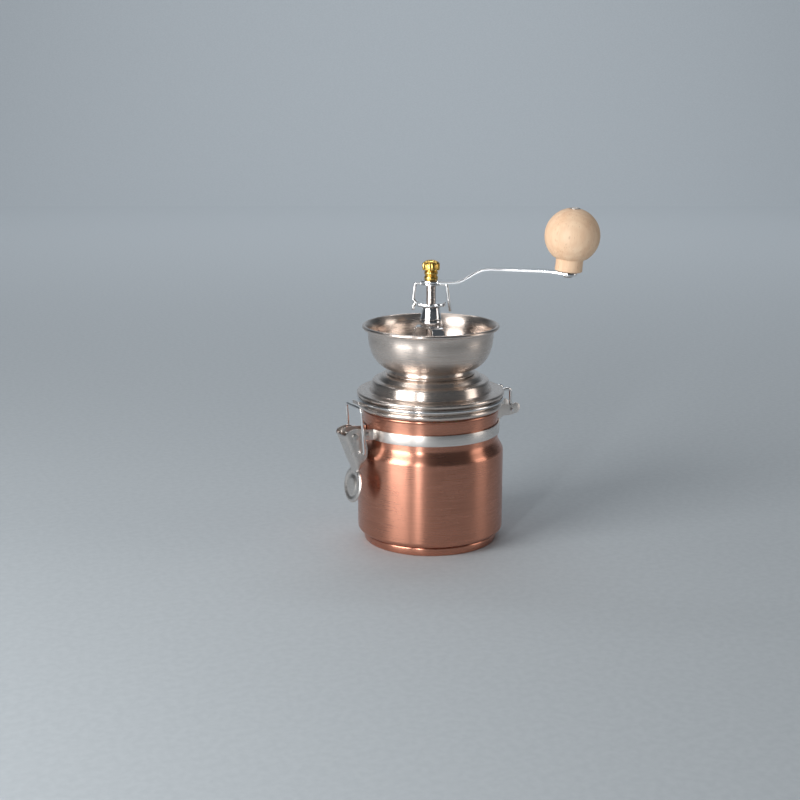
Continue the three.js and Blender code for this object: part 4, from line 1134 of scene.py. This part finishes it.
def build_knob():
    ball, centre, neck = 18.0, 24.1, 9.0
    bore, head_bore, foot = 2.6, 3.6, 0.9
    start = -math.degrees(math.acos((neck + 0.3) / ball))
    top = math.degrees(math.acos(head_bore / ball))
    seat = centre + math.sqrt(ball**2 - 3.3**2) - 1.2
    profile = [(bore, foot), (neck - 0.6, foot), (neck, foot + 0.6), (neck - 0.15, foot + 4)]
    crease = (neck - 0.1, centre + ball * math.sin(math.radians(start)) + 0.3)
    sides = [(neck - 0.15, foot + 4.2), crease, arc(0, centre, ball, start + 6, start + 6, 1)[0]]
    profile += rounded(sides, 1.2, 5)[1:-1]
    profile += arc(0, centre, ball, start + 6, top, 30)
    profile += [(head_bore, seat), (bore, seat), (bore, foot)]
    knob = lathe("wooden_knob", profile, 96, 0.3)
    stand_on_arm(knob)
    finish(knob, "knob_ball", wood)

    under = -1.9
    screw_seat = centre + math.sqrt(ball**2 - 3.3**2) - 0.9
    axle = [(0, under - 1.4), (2.0, under - 1.4), (3.1, under - 0.8), (3.3, under), (2.3, under)]
    axle += [(2.3, screw_seat), (3.3, screw_seat), (3.3, screw_seat + 0.9)]
    axle += [(2.4, screw_seat + 1.5), (0, screw_seat + 1.8)]
    screw = lathe("knob_screw", axle, 48, 0.15)
    cut_slot(screw, screw_seat + 1.8, 7.0, 0.8, 0.8)
    stand_on_arm(screw)
    finish(screw, "knob_axle", rivet_metal)

    washer = lathe("knob_washer_disc", section(2.6, 5, 0.3, 0.8), 48, 0.12)
    stand_on_arm(washer)
    finish(washer, "knob_washer", rivet_metal)


build_jar()
build_band()
build_rivets()
build_hinge_bracket()
build_lever()
build_bail()
build_lid()
build_tongue(build_ring())
build_hopper()
build_bracket()
build_bush()
build_mill()
build_shaft()
build_disc()
build_clip()
build_nut(build_arm())
build_knob()


# ---- Studio ----

VIEW_TURN = 28  # degrees that the camera stands towards the clasp side
VIEW_PITCH = 76.96  # degrees that it looks up from straight down
FLOOR_METRES = 60


def build_floor():
    material, tree, shader = new_material("pale paper", Roughness=0.8, Specular_IOR_Level=0.2)
    vector = add(tree, "ShaderNodeTexCoord").outputs["Object"]
    grain = noise(tree, vector, 220.0, 3.0)
    cloud = spread(tree, grain[0], 0.35, 0.65)
    tone = mix(tree, cloud, (0.47, 0.515, 0.55, 1), (0.50, 0.545, 0.58, 1))
    tree.links.new(tone, shader.inputs["Base Color"])
    bpy.ops.object.select_all(action="DESELECT")
    bpy.ops.mesh.primitive_plane_add(size=FLOOR_METRES, location=(0, 0, 0))
    floor = bpy.context.object
    floor.name = "studio_floor"
    # The paper behind the object sweeps up from the floor in one wide curve.
    start, bend, height, half = 2400, 1500, 5000, 7000
    sunk = 4  # how far its near edge lies below the floor
    rise = [(start + y, bend + z - sunk) for y, z in arc(0, 0, bend, -90, 0, 15)]
    rise.append((start + bend, height))
    paper = draw("studio_backdrop", [(-half, y, z) for y, z in rise])
    extrude(2 * half, 0, 0)
    mode("OBJECT")
    turned_to(paper, -VIEW_TURN)
    shade(paper, 60)
    for piece in (floor, paper):
        piece.data.materials.append(material)


def area_light(name, place, target, width, height, power, color):
    """A rectangular lamp; its place, its target and its size are in metres."""
    data = bpy.data.lights.new(name, "AREA")
    data.shape = "RECTANGLE"
    data.size, data.size_y = width, height
    data.energy = power
    data.color = color
    light = bpy.data.objects.new(name, data)
    bpy.context.scene.collection.objects.link(light)
    light.location = place
    light.rotation_euler = (Vector(target) - Vector(place)).to_track_quat("-Z", "Y").to_euler()


def build_studio():
    build_floor()
    world = bpy.data.worlds.new("studio")
    bpy.context.scene.world = world
    bpy.context.scene.view_settings.view_transform = "Standard"
    world.use_nodes = True
    background = world.node_tree.nodes["Background"]
    background.inputs["Color"].default_value = (0.60, 0.66, 0.72, 1)
    background.inputs["Strength"].default_value = 0.12

    to_camera = Vector((*polar(-1, 90 - VIEW_TURN), 0))
    to_left = Vector((to_camera.y, -to_camera.x, 0))

    def beside(degrees, distance, height):
        a = math.radians(degrees)
        return (to_camera * math.cos(a) + to_left * math.sin(a)) * distance + Vector((0, 0, height))

    middle = (0, 0, 0.11)
    area_light("window", beside(51, 1.10, 0.40), middle, 0.62, 0.90, 13, (1.0, 0.985, 0.965))
    area_light("window_edge", beside(19, 1.25, 0.30), middle, 0.06, 0.7, 4.6, (1.0, 0.99, 0.98))
    area_light("far_side", beside(-84, 1.2, 0.35), middle, 0.45, 0.8, 2.2, (1.0, 0.93, 0.86))
    area_light("ceiling", beside(70, 0.5, 1.5), middle, 0.9, 0.9, 2, (1.0, 0.99, 0.98))
    area_light("backdrop_wash", beside(178, 1.5, 2.6), beside(180, 3.3, 0.5), 3.2, 1.2, 62, (0.97, 0.98, 1.0))


def build_camera():
    data = bpy.data.cameras.new("view")
    data.lens = 63.9
    data.sensor_width = 36
    camera = bpy.data.objects.new("view", data)
    bpy.context.scene.collection.objects.link(camera)
    camera.location = (-0.4625, -0.8255, 0.316)
    camera.rotation_euler = (math.radians(VIEW_PITCH), 0, math.radians(-VIEW_TURN))
    bpy.context.scene.camera = camera


build_studio()
build_camera()
